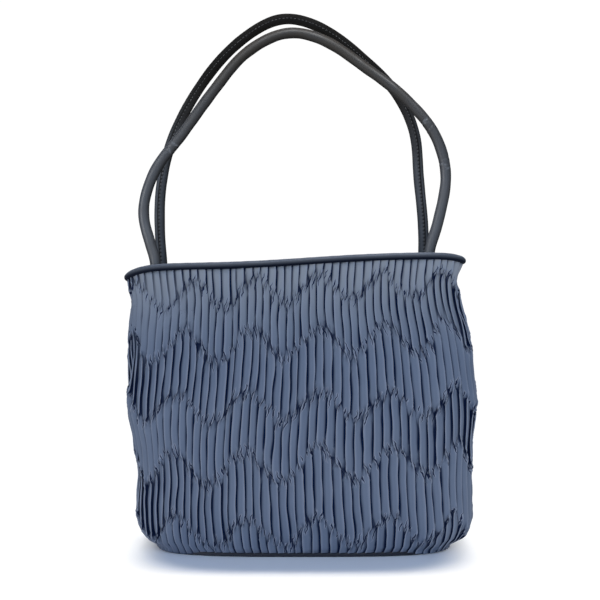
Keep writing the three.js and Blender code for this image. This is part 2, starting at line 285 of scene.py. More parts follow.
@dataclass
class BodyForm:
    """Smooth form of the soft body that every sewn piece follows, in millimetres."""

    sections: tuple[Section, ...] = SECTIONS
    lines: tuple[WaveLine, ...] = WAVE_LINES
    dents: tuple[Dent, ...] = DENTS
    drifts: tuple[Drift, ...] = DRIFTS
    girth: float = 676.0
    pleats_round: int = 104
    waves_round: int = 13
    wave_phase: float = 0.243
    stretch_end: float = 0.15
    rim_height: float = 227.9
    rim_rise: float = 4.6
    rim_rise_middle: float = 8.0
    rim_rise_reach: float = 68.0
    rim_lean: float = 0.032
    rim_droop_left: tuple[float, float] = (10.5, 10.0)
    rim_droop_right: tuple[float, float] = (5.5, 14.0)
    rim_section: float = 224.6
    piping_radius: float = 2.7
    piping_seat: float = 0.5
    turn_room: float = 5.0
    samples: int = 1024
    angle_samples: int = 1440
    top_level: int = 242
    top_margin: float = 1.001
    widest_share: float = 0.999
    shift: tuple[float, float] = field(init=False)

    def __post_init__(self) -> None:
        """Finds the bag's place in the frame and tabulates its plan outlines."""
        low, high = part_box("base_panel")
        self.shift = (
            0.5 * (low[0] + high[0]) / MM - self.sections[0].middle,
            0.5 * (low[1] + high[1]) / MM,
        )
        levels = np.arange(self.top_level, dtype=float)
        self._plan = np.stack([self._outline(z) for z in levels])
        ring = self._plan[:, :-1]
        along = unit(np.roll(ring, -1, axis=1) - np.roll(ring, 1, axis=1))
        outward = np.stack((along[..., 1], -along[..., 0]), axis=-1)
        self._outward = np.concatenate((outward, outward[:, :1]), axis=1)

    def _section(self, z: Array) -> list[Array]:
        """Middle, half width, half depth and squareness of the body at heights."""
        names = ("middle", "half_width", "half_depth", "square")
        return [smooth_column(self.sections, name, z) for name in names]

    def drifted(self, share: Array, z: Array) -> Array:
        """Way round of a pleat at a height, from its way round at the mouth; the side seams stay.

        Args:
            share: Way round at the mouth.
            z: Heights in millimetres.

        Returns:
            The way round at each height.
        """
        slide, spread, corner = (
            smooth_column(self.drifts, name, z) for name in ("slide", "spread", "corner")
        )
        across = np.cos(TURN * share)
        slid = slide / self.girth * across * np.abs(across)
        parted = spread * np.sin(2 * TURN * share) / (2 * TURN)
        return share + slid + parted + corner * self._to_corner(share)

    def _to_corner(self, share: Array) -> Array:
        """Way from the middle of the front or back, which dies out beyond the corners.

        Args:
            share: Way round the body, from 0 to 1.

        Returns:
            The way at each place.
        """
        off = from_middle(share)
        side = eased((np.abs(off) - self.stretch_end) / (QUARTER - self.stretch_end))
        return off * (1.0 - side)

    def _outline(self, z: float) -> Array:
        """Plan outline at a height, in even steps from the front middle to the right.

        Args:
            z: Height in millimetres.

        Returns:
            Points in plan, with the first again at the end.
        """
        middle, wide, deep, square = (float(value) for value in self._section(np.array(z)))
        angle = np.linspace(0.0, TURN, self.angle_samples + 1)
        across = np.abs(np.sin(angle) / wide) ** square
        along = np.abs(np.cos(angle) / deep) ** square
        reach = (across + along) ** (-1.0 / square)
        ring = np.stack((middle + reach * np.sin(angle), -reach * np.cos(angle)), axis=-1)
        return even_steps(ring, self.samples + 1)

    def _between(self, table: Array, share: Array, z: Array) -> Array:
        """Value of a plan table between its levels and steps.

        Args:
            table: Pairs of values by level and step.
            share: Way round the body, from 0 to 1.
            z: Heights in millimetres.

        Returns:
            The pair of values at each place.
        """
        way = np.mod(share, 1.0) * self.samples
        step = np.minimum(way.astype(int), self.samples - 1)
        level_z = np.clip(z, 0.0, self.top_level - self.top_margin)
        level = level_z.astype(int)
        f, g = (way - step)[..., None], (level_z - level)[..., None]
        low = table[level, step] * (1 - f) + table[level, step + 1] * f
        high = table[level + 1, step] * (1 - f) + table[level + 1, step + 1] * f
        return low * (1 - g) + high * g

    def dent(self, share: Array, z: Array) -> Array:
        """Depth of the soft dents at places on the body.

        Args:
            share: Way round the body, from 0 to 1.
            z: Heights in millimetres.

        Returns:
            The depth in millimetres.
        """
        depth = np.zeros(np.broadcast(share, z).shape)
        for dent in self.dents:
            depth += dent.depth_at(share, z)
        return depth

    def point(self, share: Array, z: Array, lift: Array) -> Array:
        """Points of the body lifted outward, in metres in the frame.

        Args:
            share: Way round the body, from 0 to 1.
            z: Heights in millimetres.
            lift: Distance outward from the body surface in millimetres.

        Returns:
            An array of points with a last axis of three.
        """
        share, z, lift = np.broadcast_arrays(share, z, lift)
        plan = self._between(self._plan, share, z)
        outward = self._between(self._outward, share, z)
        plan = plan + outward * (lift - self.dent(share, z))[..., None]
        x, y = plan[..., 0] + self.shift[0], plan[..., 1] + self.shift[1]
        return np.stack((x, y, z), axis=-1) * MM

    def rim_over(self, x: Array, y: Array) -> Array:
        """Height of the piping's middle over a place in plan, before the shift.

        Args:
            x: Sideways place in millimetres.
            y: Place from front to back in millimetres.

        Returns:
            The height in millimetres.
        """
        last = self.sections[-1]
        share = np.minimum(np.abs((x - last.middle) / last.half_width), 1.0)
        left, right = self.rim_droop_left, self.rim_droop_right
        droop = np.where(x < last.middle, left[0] * share ** left[1], right[0] * share ** right[1])
        rise = self.rim_rise * np.tanh((x - self.rim_rise_middle) / self.rim_rise_reach)
        return self.rim_height + rise - self.rim_lean * y - droop

    def rim(self, share: Array) -> Array:
        """Height of the piping's middle at a share of the way round.

        Args:
            share: Way round the body, from 0 to 1.

        Returns:
            The height in millimetres.
        """
        level = np.full(np.shape(share), self.rim_section)
        plan = self._between(self._plan, np.asarray(share), level)
        return self.rim_over(plan[..., 0], plan[..., 1])

    def line(self, index: int, share: Array) -> Array:
        """Height of one wavy line at a share of the way round.

        Args:
            index: Number of the line, upward.
            share: Way round the body, from 0 to 1.

        Returns:
            The height in millimetres.
        """
        row = self.lines[index]
        spot = self.drifted(share, np.array(row.z))
        even = spot - row.slide / self.girth - row.stretch * self._to_corner(spot)
        wave = np.cos(TURN * (self.waves_round * even - self.wave_phase))
        room = self.rim(share) - self.piping_radius - self.piping_seat - self.turn_room
        return np.minimum(row.z + row.tilt * np.sin(TURN * spot) + row.swing * wave, room)

    def wall_depth(self, x: Array, z: Array) -> Array:
        """Depth of the wall from the middle plane over a sideways place, before the shift.

        Args:
            x: Sideways place in millimetres.
            z: Heights in millimetres.

        Returns:
            The depth in millimetres.
        """
        middle, wide, deep, square = self._section(z)
        share = np.minimum(np.abs((x - middle) / wide), self.widest_share)
        return deep * (1.0 - share**square) ** (1.0 / square)


# Making meshes


def clear_selection() -> None:
    """Leaves object mode with nothing selected."""
    if bpy.context.object is not None and bpy.context.object.mode != "OBJECT":
        bpy.ops.object.mode_set(mode="OBJECT")
    bpy.ops.object.select_all(action="DESELECT")


def mesh_piece(name: str, points: Array, faces: Sequence[Sequence[int]]) -> Piece:
    """Makes a smooth mesh object at the origin.

    Args:
        name: Name of the piece.
        points: Points in metres, one row each.
        faces: Corner indices of each face, turned outward.

    Returns:
        The new object.
    """
    mesh = bpy.data.meshes.new(name)
    mesh.from_pydata(points.tolist(), [], [list(face) for face in faces])
    mesh.shade_smooth()
    mesh.validate()
    piece = bpy.data.objects.new(name, mesh)
    bpy.context.collection.objects.link(piece)
    return piece


def grid_faces(ids: Array) -> Array:
    """Four-sided faces over a grid of point numbers, rows upward and columns to the right."""
    quads = (ids[:-1, :-1], ids[:-1, 1:], ids[1:, 1:], ids[1:, :-1])
    return np.stack(quads, axis=-1).reshape(-1, 4)


def ring_faces(rings: int, sides: int, loop: bool) -> list[list[int]]:
    """Faces through a run of rings, as a closed loop or with flat ends.

    Args:
        rings: Number of rings.
        sides: Points of each ring.
        loop: Whether the last ring joins the first.

    Returns:
        Corner numbers of each face.
    """
    ids = np.arange(rings * sides).reshape(rings, sides)
    ids = np.concatenate((ids, ids[:, :1]), axis=1)
    if loop:
        ids = np.concatenate((ids, ids[:1]), axis=0)
    faces = grid_faces(ids).tolist()
    if not loop:
        faces.append(list(range(sides))[::-1])
        faces.append(list(range((rings - 1) * sides, rings * sides)))
    return faces


def sharp_edges(piece: Piece, points: Array) -> None:
    """Breaks the smooth shading along the edges between some points of a piece.

    Args:
        piece: The piece.
        points: Numbers of the points.
    """
    mesh = piece.data
    ends = np.empty(2 * len(mesh.edges), dtype=np.int32)
    mesh.edges.foreach_get("vertices", ends)
    layer = mesh.attributes.new("sharp_edge", "BOOLEAN", "EDGE")
    layer.data.foreach_set("value", np.isin(ends, points).reshape(-1, 2).all(axis=1))


def point_values(piece: Piece, name: str, values: Array) -> None:
    """Stores one number for each point of a piece, for its material to read."""
    layer = piece.data.attributes.new(name, "FLOAT", "POINT")
    layer.data.foreach_set("value", np.ascontiguousarray(values, dtype=np.float32))


def lay_pattern(piece: Piece, across: Array, along: Array) -> None:
    """Lays a flat pattern map on a piece, in centimetres of cloth or leather.

    Args:
        piece: The piece.
        across: Place of each point across the pattern.
        along: Place of each point along it.
    """
    layer = piece.data.uv_layers.new(name="pattern")
    corner = np.empty(len(piece.data.loops), dtype=np.int32)
    piece.data.loops.foreach_get("vertex_index", corner)
    flat = np.stack((across[corner], along[corner]), axis=-1)
    layer.data.foreach_set("uv", np.ascontiguousarray(flat, dtype=np.float32).ravel())


def place(piece: Piece, material: Material, slot: str, *nodes: str) -> None:
    """Gives a piece its finish and its place on the frame.

    Args:
        piece: The finished object.
        material: Its finish.
        slot: Material slot of the record; not used.
        nodes: Solids of the frame that it stands for.
    """
    piece.data.materials.clear()
    piece.data.materials.append(material)
    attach(piece, ROOT)
    if nodes:
        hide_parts(*nodes)
    triangles = sum(len(face.vertices) - 2 for face in piece.data.polygons)
    LOG.info("%s: %d triangles", piece.name, triangles)


# Finishes


class NodeBoard:
    """Lays out and links the nodes of one shader tree."""

    def __init__(self, tree: bpy.types.NodeTree) -> None:
        """Starts an empty board on a tree."""
        self.tree = tree
        tree.nodes.clear()

    def add(self, kind: str, inputs: dict[Any, Any] | None = None, **settings: Any) -> bpy.types.Node:
        """Adds a node.

        Args:
            kind: Node type.
            inputs: Values or sockets for its inputs, by name or number.
            settings: Its own settings.

        Returns:
            The node.
        """
        node = self.tree.nodes.new(kind)
        for name, value in settings.items():
            setattr(node, name, value)
        for name, value in (inputs or {}).items():
            self.feed(node.inputs[name], value)
        return node

    def feed(self, socket: Socket, value: Any) -> None:
        """Links a socket to an input, or sets the input's value.

        Args:
            socket: The input.
            value: Socket or plain value for it.
        """
        if isinstance(value, Socket):
            self.tree.links.new(value, socket)
        else:
            socket.default_value = value

    def math(self, operation: str, first: Any, second: Any = 0.5, clamp: bool = False) -> Socket:
        """Adds a sum of two values and returns its result."""
        node = self.add("ShaderNodeMath", {0: first, 1: second}, operation=operation, use_clamp=clamp)
        return node.outputs[0]

    def scatter(self, chance: Any, size: float) -> Socket:
        """Turns a chance from 0 to 1 into a scatter round 0."""
        return self.math("MULTIPLY", self.math("SUBTRACT", chance, 0.5), size)

    def remap(
        self, value: Any, low: float, high: float, to_low: float = 0.0, to_high: float = 1.0
    ) -> Socket:
        """Maps a value smoothly from one range to another.

        Args:
            value: The value.
            low: Lower end of its range.
            high: Upper end of its range.
            to_low: Result at the lower end.
            to_high: Result at the upper end.

        Returns:
            The mapped value.
        """
        inputs = {"Value": value, "From Min": low, "From Max": high, "To Min": to_low, "To Max": to_high}
        node = self.add("ShaderNodeMapRange", inputs, interpolation_type="SMOOTHSTEP")
        return node.outputs["Result"]

    def value(self, name: str) -> Socket:
        """Reads a number that is stored at the points of the piece."""
        return self.add("ShaderNodeAttribute", attribute_name=name).outputs["Fac"]

    def group(self, tree: bpy.types.NodeTree, **inputs: Any) -> bpy.types.NodeOutputs:
        """Adds a shared shader group and returns its outputs."""
        return self.add("ShaderNodeGroup", inputs, node_tree=tree).outputs

    def bump(
        self, height: Any, strength: float, distance: float, under: Any = None, invert: bool = False
    ) -> Socket:
        """Raises a relief on a surface.

        Args:
            height: Height of the relief.
            strength: Share of it that shows.
            distance: Its depth in metres.
            under: Normal of a relief below this one.
            invert: Whether it goes inward.

        Returns:
            The normal of the raised surface.
        """
        inputs = {"Height": height, "Strength": strength, "Distance": distance}
        if under is not None:
            inputs["Normal"] = under
        return self.add("ShaderNodeBump", inputs, invert=invert).outputs["Normal"]

    def blend(self, factor: Any, first: Any, second: Any, kind: str = "MIX") -> Socket:
        """Mixes two colours and returns the result.

        Args:
            factor: Share of the second colour.
            first: The first colour.
            second: The second colour.
            kind: Way of mixing.

        Returns:
            The mixed colour.
        """
        node = self.add("ShaderNodeMix", data_type="RGBA", blend_type=kind)
        for name, value in (("Factor_Float", factor), ("A_Color", first), ("B_Color", second)):
            socket = next(s for s in node.inputs if s.identifier == name)
            self.feed(socket, value)
        return next(s for s in node.outputs if s.identifier == "Result_Color")


def shader_group(name: str, inputs: dict[str, str], outputs: dict[str, str]) -> tuple[NodeBoard, Any, Any]:
    """Starts a shader node group.

    Args:
        name: Its name.
        inputs: Socket type of each input.
        outputs: Socket type of each output.

    Returns:
        Its board, its input node and its output node.
    """
    tree = bpy.data.node_groups.new(name, "ShaderNodeTree")
    for title, kind in inputs.items():
        tree.interface.new_socket(title, in_out="INPUT", socket_type=kind)
    for title, kind in outputs.items():
        tree.interface.new_socket(title, in_out="OUTPUT", socket_type=kind)
    board = NodeBoard(tree)
    return board, board.add("NodeGroupInput"), board.add("NodeGroupOutput")


class SharedEffects:
    """Shader groups that more than one finish uses, each built once."""

    TINT_RANGE = (0.3, 0.7)
    TINT_DETAIL = 4.0
    GRAIN_DETAIL = 5.0
    CREASE_WIDTH = 0.16
    CREASE_DEPTH = 0.6
    FINER = 2.3

    def __init__(self) -> None:
        """Builds the groups."""
        self.mottle = self._mottle()
        self.grain = self._grain()
        self.weave = self._weave()

    def _mottle(self) -> bpy.types.NodeTree:
        """Slow uneven tint over a surface.

        Returns:
            The shader group.
        """
        board, start, end = shader_group(
            "slow mottle",
            {"Vector": "NodeSocketVector", "Scale": "NodeSocketFloat"},
            {"Tint": "NodeSocketFloat"},
        )
        wide = board.add(
            "ShaderNodeTexNoise",
            {
                "Vector": start.outputs["Vector"],
                "Scale": start.outputs["Scale"],
                "Detail": self.TINT_DETAIL,
            },
        )
        board.feed(end.inputs["Tint"], board.remap(wide.outputs["Fac"], *self.TINT_RANGE))
        return board.tree

    def _grain(self) -> bpy.types.NodeTree:
        """Fine pebbled grain of smooth leather.

        Returns:
            The shader group.
        """
        board, start, end = shader_group(
            "leather grain",
            {"Vector": "NodeSocketVector", "Scale": "NodeSocketFloat"},
            {"Height": "NodeSocketFloat", "Crease": "NodeSocketFloat"},
        )
        cells = board.add(
            "ShaderNodeTexVoronoi",
            {"Vector": start.outputs["Vector"], "Scale": start.outputs["Scale"]},
            feature="DISTANCE_TO_EDGE",
        )
        crease = board.remap(cells.outputs["Distance"], 0.0, self.CREASE_WIDTH, 1.0, 0.0)
        fine = board.add(
            "ShaderNodeTexNoise",
            {
                "Vector": start.outputs["Vector"],
                "Scale": board.math("MULTIPLY", start.outputs["Scale"], self.FINER),
                "Detail": self.GRAIN_DETAIL,
            },
        )
        sunk = board.math("MULTIPLY", crease, self.CREASE_DEPTH)
        board.feed(end.inputs["Height"], board.math("SUBTRACT", fine.outputs["Fac"], sunk))
        board.feed(end.inputs["Crease"], crease)
        return board.tree

    @staticmethod
    def _weave() -> bpy.types.NodeTree:
        """Plain weave: threads that pass over and under in turn.

        Returns:
            The shader group.
        """
        board, start, end = shader_group(
            "plain weave",
            {"Vector": "NodeSocketVector", "Threads": "NodeSocketFloat"},
            {"Height": "NodeSocketFloat"},
        )
        scaled = board.add(
            "ShaderNodeVectorMath",
            {0: start.outputs["Vector"], "Scale": start.outputs["Threads"]},
            operation="SCALE",
        )
        parts = board.add("ShaderNodeSeparateXYZ", {0: scaled.outputs[0]})
        u, v = parts.outputs["X"], parts.outputs["Y"]
        warp, weft = (
            board.math("ABSOLUTE", board.math("SINE", board.math("MULTIPLY", way, math.pi)))
            for way in (u, v)
        )
        cells = board.math("ADD", board.math("FLOOR", u, 0.0), board.math("FLOOR", v, 0.0))
        over = board.math("FLOORED_MODULO", cells, 2.0)
        first = board.math("MULTIPLY", warp, over)
        second = board.math("MULTIPLY", weft, board.math("SUBTRACT", 1.0, over))
        board.feed(end.inputs["Height"], board.math("ADD", first, second))
        return board.tree


def new_material(name: str) -> tuple[Material, NodeBoard, bpy.types.Node]:
    """Starts a material with a shader wired to its output.

    Args:
        name: Name of the material.

    Returns:
        The material, its board and its shader.
    """
    material = bpy.data.materials.new(name)
    material.use_nodes = True
    board = NodeBoard(material.node_tree)
    shader = board.add("ShaderNodeBsdfPrincipled")
    board.add("ShaderNodeOutputMaterial", {"Surface": shader.outputs["BSDF"]})
    return material, board, shader


@dataclass(frozen=True)
class NylonFinish:
    """Pleated nylon: slate blue, finely woven, with a painted highlight along the fold edges, painted shade
    in the grooves and tucks, and a painted lighter top.
    """

    cloth: Colour = (0.121, 0.149, 0.213, 1.0)
    worn: Colour = (0.138, 0.166, 0.228, 1.0)
    # Painted highlight along the fold edges and beside the tucks
    fold: Colour = (0.238, 0.264, 0.335, 1.0)
    # Lighter, greyer tone of the upper cloth: painted light from above
    painted_top_light: Colour = (0.272, 0.286, 0.317, 1.0)
    # Painted shade beside and under the folds and in the tuck slits
    painted_shade_tone: Colour = (0.002, 0.008, 0.034, 1.0)
    # Shares of the painted highlight and painted shade that show
    fold_highlight_share: float = 0.9
    painted_shade_share: float = 0.99
    tuck_shade_share: float = 0.97
    lip_highlight_share: float = 0.8
    mottle_scale: float = 34.0
    mottle_share: float = 0.45
    # Heights in metres over which the painted light from above comes in on the upper cloth
    top_light_from: float = 0.15
    top_light_to: float = 0.245

    # Tucks: stray and reach in tucks along the wall, length in millimetres and depth in metres
    tuck_wander: float = 0.8
    tuck_scatter: float = 7.0
    tuck_short: float = 3.2
    tuck_longer: float = 5.0
    tuck_shift: float = 0.4
    tuck_width: float = 0.15
    tuck_edge: float = 0.07
    tuck_taper: float = 4.0
    lip_highlight_width: float = 0.13
    turn_from: float = 0.02
    turn_to: float = 0.2
    stray_scale: float = 2.4
    stray_detail: float = 1.0
    tuck_depth: float = 0.0004
    pucker_strength: float = 0.6

    # Weave and gloss
    threads_per_cm: float = 26.0
    weave_depth: float = 0.00006
    weave_strength: float = 0.5
    rough_low: float = 0.46
    rough_high: float = 0.56
    shine: float = 0.02
    sheen: float = 0.05
    sheen_rough: float = 0.45
    sheen_tint: Colour = (0.80, 0.86, 1.0, 1.0)

    def material(self, effects: SharedEffects) -> Material:
        """Makes the cloth's material.

        Args:
            effects: Shared shader groups.

        Returns:
            The material.
        """
        material, board, shader = new_material("pleated nylon")
        maps = board.add("ShaderNodeTexCoord").outputs
        spot, flat = maps["Object"], maps["UV"]
        dark, pale, turn, strip = (board.value(name) for name in ("shade", "pale", "turn", "strip"))
        tint = board.group(effects.mottle, Vector=spot, Scale=self.mottle_scale)["Tint"]
        shade = board.math("ADD", board.math("MULTIPLY", tint, self.mottle_share), strip)
        colour = board.blend(board.math("MULTIPLY", shade, 1.0, True), self.cloth, self.worn)
        height = board.add("ShaderNodeSeparateXYZ", {0: spot}).outputs["Z"]
        # Painted light from above: the cloth turns lighter and greyer towards the top
        colour = board.blend(board.remap(height, self.top_light_from, self.top_light_to), colour, self.painted_top_light)
        tucks, lips = self._tucks(board, flat, board.remap(turn, self.turn_from, self.turn_to))
        # Painted highlight on the fold edges and tuck lips, painted shade in the tuck slits and beside and
        # under the folds
        for mask, share, tone in (
            (pale, self.fold_highlight_share, self.fold),
            (lips, self.lip_highlight_share, self.fold),
            (tucks, self.tuck_shade_share, self.painted_shade_tone),
            (dark, self.painted_shade_share, self.painted_shade_tone),
        ):
            colour = board.blend(board.math("MULTIPLY", mask, share), colour, tone)
        board.feed(shader.inputs["Base Color"], colour)
        board.feed(shader.inputs["Roughness"], board.remap(tint, 0.0, 1.0, self.rough_low, self.rough_high))
        weave = board.group(effects.weave, Vector=flat, Threads=self.threads_per_cm)["Height"]
        woven = board.bump(weave, self.weave_strength, self.weave_depth)
        tucked = board.bump(tucks, self.pucker_strength, self.tuck_depth, under=woven, invert=True)
        board.feed(shader.inputs["Normal"], tucked)
        shader.inputs["Specular IOR Level"].default_value = self.shine
        shader.inputs["Sheen Weight"].default_value = self.sheen
        shader.inputs["Sheen Roughness"].default_value = self.sheen_rough
        shader.inputs["Sheen Tint"].default_value = self.sheen_tint
        return material

    def _tucks(self, board: NodeBoard, flat: Socket, near: Socket) -> tuple[Socket, Socket]:
        """Short slanting tucks where the pleats turn over, drawn as painted shade in their slits and a
        painted highlight on their lips.

        Args:
            board: Board of the material.
            flat: Pattern map of the cloth in centimetres.
            near: Nearness to a turning line, from 0 to 1.

        Returns:
            The painted shade of the tucks' slits and the painted highlight of the lips beside them, from 0 to
            1.
        """
        wall, slide = (board.value(name) for name in ("wall", "slide"))
        noise = board.add(
            "ShaderNodeTexNoise",
            {"Vector": flat, "Scale": self.stray_scale, "Detail": self.stray_detail},
        )
        across = board.math("ADD", wall, board.scatter(noise.outputs["Fac"], self.tuck_wander))
        cell = board.math("FLOOR", across)
        chance = board.add("ShaderNodeTexWhiteNoise", {"W": cell}, noise_dimensions="1D")
        parts = board.add("ShaderNodeSeparateColor", {"Color": chance.outputs["Color"]}).outputs
        middle = board.scatter(parts["Red"], self.tuck_scatter)
        half = board.math("ADD", board.math("MULTIPLY", parts["Green"], self.tuck_longer), self.tuck_short)
        gone = board.math("ABSOLUTE", board.math("SUBTRACT", slide, middle))
        along = board.math("SUBTRACT", 1.0, board.math("DIVIDE", gone, half), True)
        inside = board.math("MULTIPLY", board.math("MULTIPLY", along, self.tuck_taper, True), near)
        width = board.math("MULTIPLY", board.math("SQRT", along), self.tuck_width)
        off = board.math("SUBTRACT", board.math("SUBTRACT", across, cell), 0.5)
        off = board.math("SUBTRACT", off, board.scatter(parts["Blue"], self.tuck_shift))
        left = board.math("SUBTRACT", width, board.math("ABSOLUTE", off))
        # Painted shade in the slit and a painted highlight on the lip beside it
        slit = board.math("DIVIDE", left, self.tuck_edge, True)
        lip = board.math("DIVIDE", board.math("ADD", left, self.lip_highlight_width), self.tuck_edge, True)
        return board.math("MULTIPLY", slit, inside), board.math("MULTIPLY", lip, inside)


@dataclass(frozen=True)
class LeatherFinish:
    """Smooth calf leather with a fine grain, mixed with a darker tone by a share stored at its points, which
    on the handles is painted shade towards their tops, and with painted shade on the sides turned from the
    light.
    """

    name: str
    hide: Colour
    # Darker tone mixed in by the share stored at the points; on the handles, painted shade towards their tops
    darker_tone: Colour
    # Tone of the painted shade on the sides turned from the light, also used for the darker grain creases
    crease: Colour
    grain_scale: float = 900.0
    grain_depth: float = 0.00005
    rough_low: float = 0.42
    rough_high: float = 0.54
    rough_inside: float = 0.9
    wrinkles: bool = True
    shine: float = 0.16
    scuff: Colour = (0.30, 0.30, 0.31, 1.0)
    mottle_scale: float = 60.0
    mottle_share: float = 0.18
    crease_share: float = 0.12
    wrinkle_stretch: Triple = (0.6, 3.0, 1.0)
    wrinkle_scale: float = 4.0
    wrinkle_detail: float = 3.0
    wrinkle_height: float = 1.6
    relief: float = 0.16

    def material(self, effects: SharedEffects) -> Material:
        """Makes the leather's material.

        Args:
            effects: Shared shader groups.

        Returns:
            The material.
        """
        material, board, shader = new_material(self.name)
        maps = board.add("ShaderNodeTexCoord").outputs
        tint = board.group(effects.mottle, Vector=maps["Object"], Scale=self.mottle_scale)["Tint"]
        grain = board.group(effects.grain, Vector=maps["Object"], Scale=self.grain_scale)
        darker_share, inside, scuffed = (board.value(name) for name in ("darker_share", "inside", "scuff"))
        # Darker tone by the stored share, painted shade towards the tops of the handles, with random mottle
        shade = board.math("ADD", darker_share, board.math("MULTIPLY", tint, self.mottle_share), True)
        creased = board.math("MULTIPLY", grain["Crease"], self.crease_share)
        colour = self.hide
        # The painted shade stored as inside values and the darker grain creases take the crease tone; pale
        # scuffs go on last
        for mask, tone in (
            (shade, self.darker_tone),
            (inside, self.crease),
            (creased, self.crease),
            (scuffed, self.scuff),
        ):
            colour = board.blend(mask, colour, tone)
        board.feed(shader.inputs["Base Color"], colour)
        rough = board.remap(tint, 0.0, 1.0, self.rough_low, self.rough_high)
        matt = board.math("MULTIPLY", inside, board.math("SUBTRACT", self.rough_inside, rough))
        board.feed(shader.inputs["Roughness"], board.math("ADD", rough, matt))
        height = grain["Height"]
        if self.wrinkles:
            height = board.math("ADD", height, self._ridges(board, maps["UV"]))
        board.feed(shader.inputs["Normal"], board.bump(height, self.relief, self.grain_depth))
        shader.inputs["Specular IOR Level"].default_value = self.shine
        return material

    def _ridges(self, board: NodeBoard, flat: Socket) -> Socket:
        """Height of the fine wrinkles that run round the piece.

        Args:
            board: Board of the material.
            flat: Pattern map of the leather in centimetres.

        Returns:
            The height.
        """
        drawn = board.add("ShaderNodeMapping", {"Vector": flat, "Scale": self.wrinkle_stretch})
        ridges = board.add(
            "ShaderNodeTexNoise",
            {"Vector": drawn.outputs["Vector"], "Scale": self.wrinkle_scale, "Detail": self.wrinkle_detail},
        )
        return board.math("MULTIPLY", ridges.outputs["Fac"], self.wrinkle_height)


@dataclass(frozen=True)
class ThreadFinish:
    """Waxed sewing thread, darker towards the tops of the handles as painted shade."""

    thread: Colour = (0.046, 0.047, 0.052, 1.0)
    # Darker tone of the stitches towards the tops of the handles, painted shade
    darker_tone: Colour = (0.007, 0.007, 0.008, 1.0)
    dark_share: float = 0.55
    mottle_scale: float = 700.0
    rough: float = 0.55

    def material(self, effects: SharedEffects) -> Material:
        """Makes the thread's material.

        Args:
            effects: Shared shader groups.

        Returns:
            The material.
        """
        material, board, shader = new_material("waxed thread")
        spot = board.add("ShaderNodeTexCoord").outputs["Object"]
        tint = board.group(effects.mottle, Vector=spot, Scale=self.mottle_scale)["Tint"]
        darker = tuple(self.dark_share * part for part in self.thread[:3]) + (1.0,)
        clean = board.blend(tint, darker, self.thread)
        # Painted shade: the stitches darken towards the tops of the handles
        board.feed(shader.inputs["Base Color"], board.blend(board.value("darker_share"), clean, self.darker_tone))
        shader.inputs["Roughness"].default_value = self.rough
        return material


# Pleated body


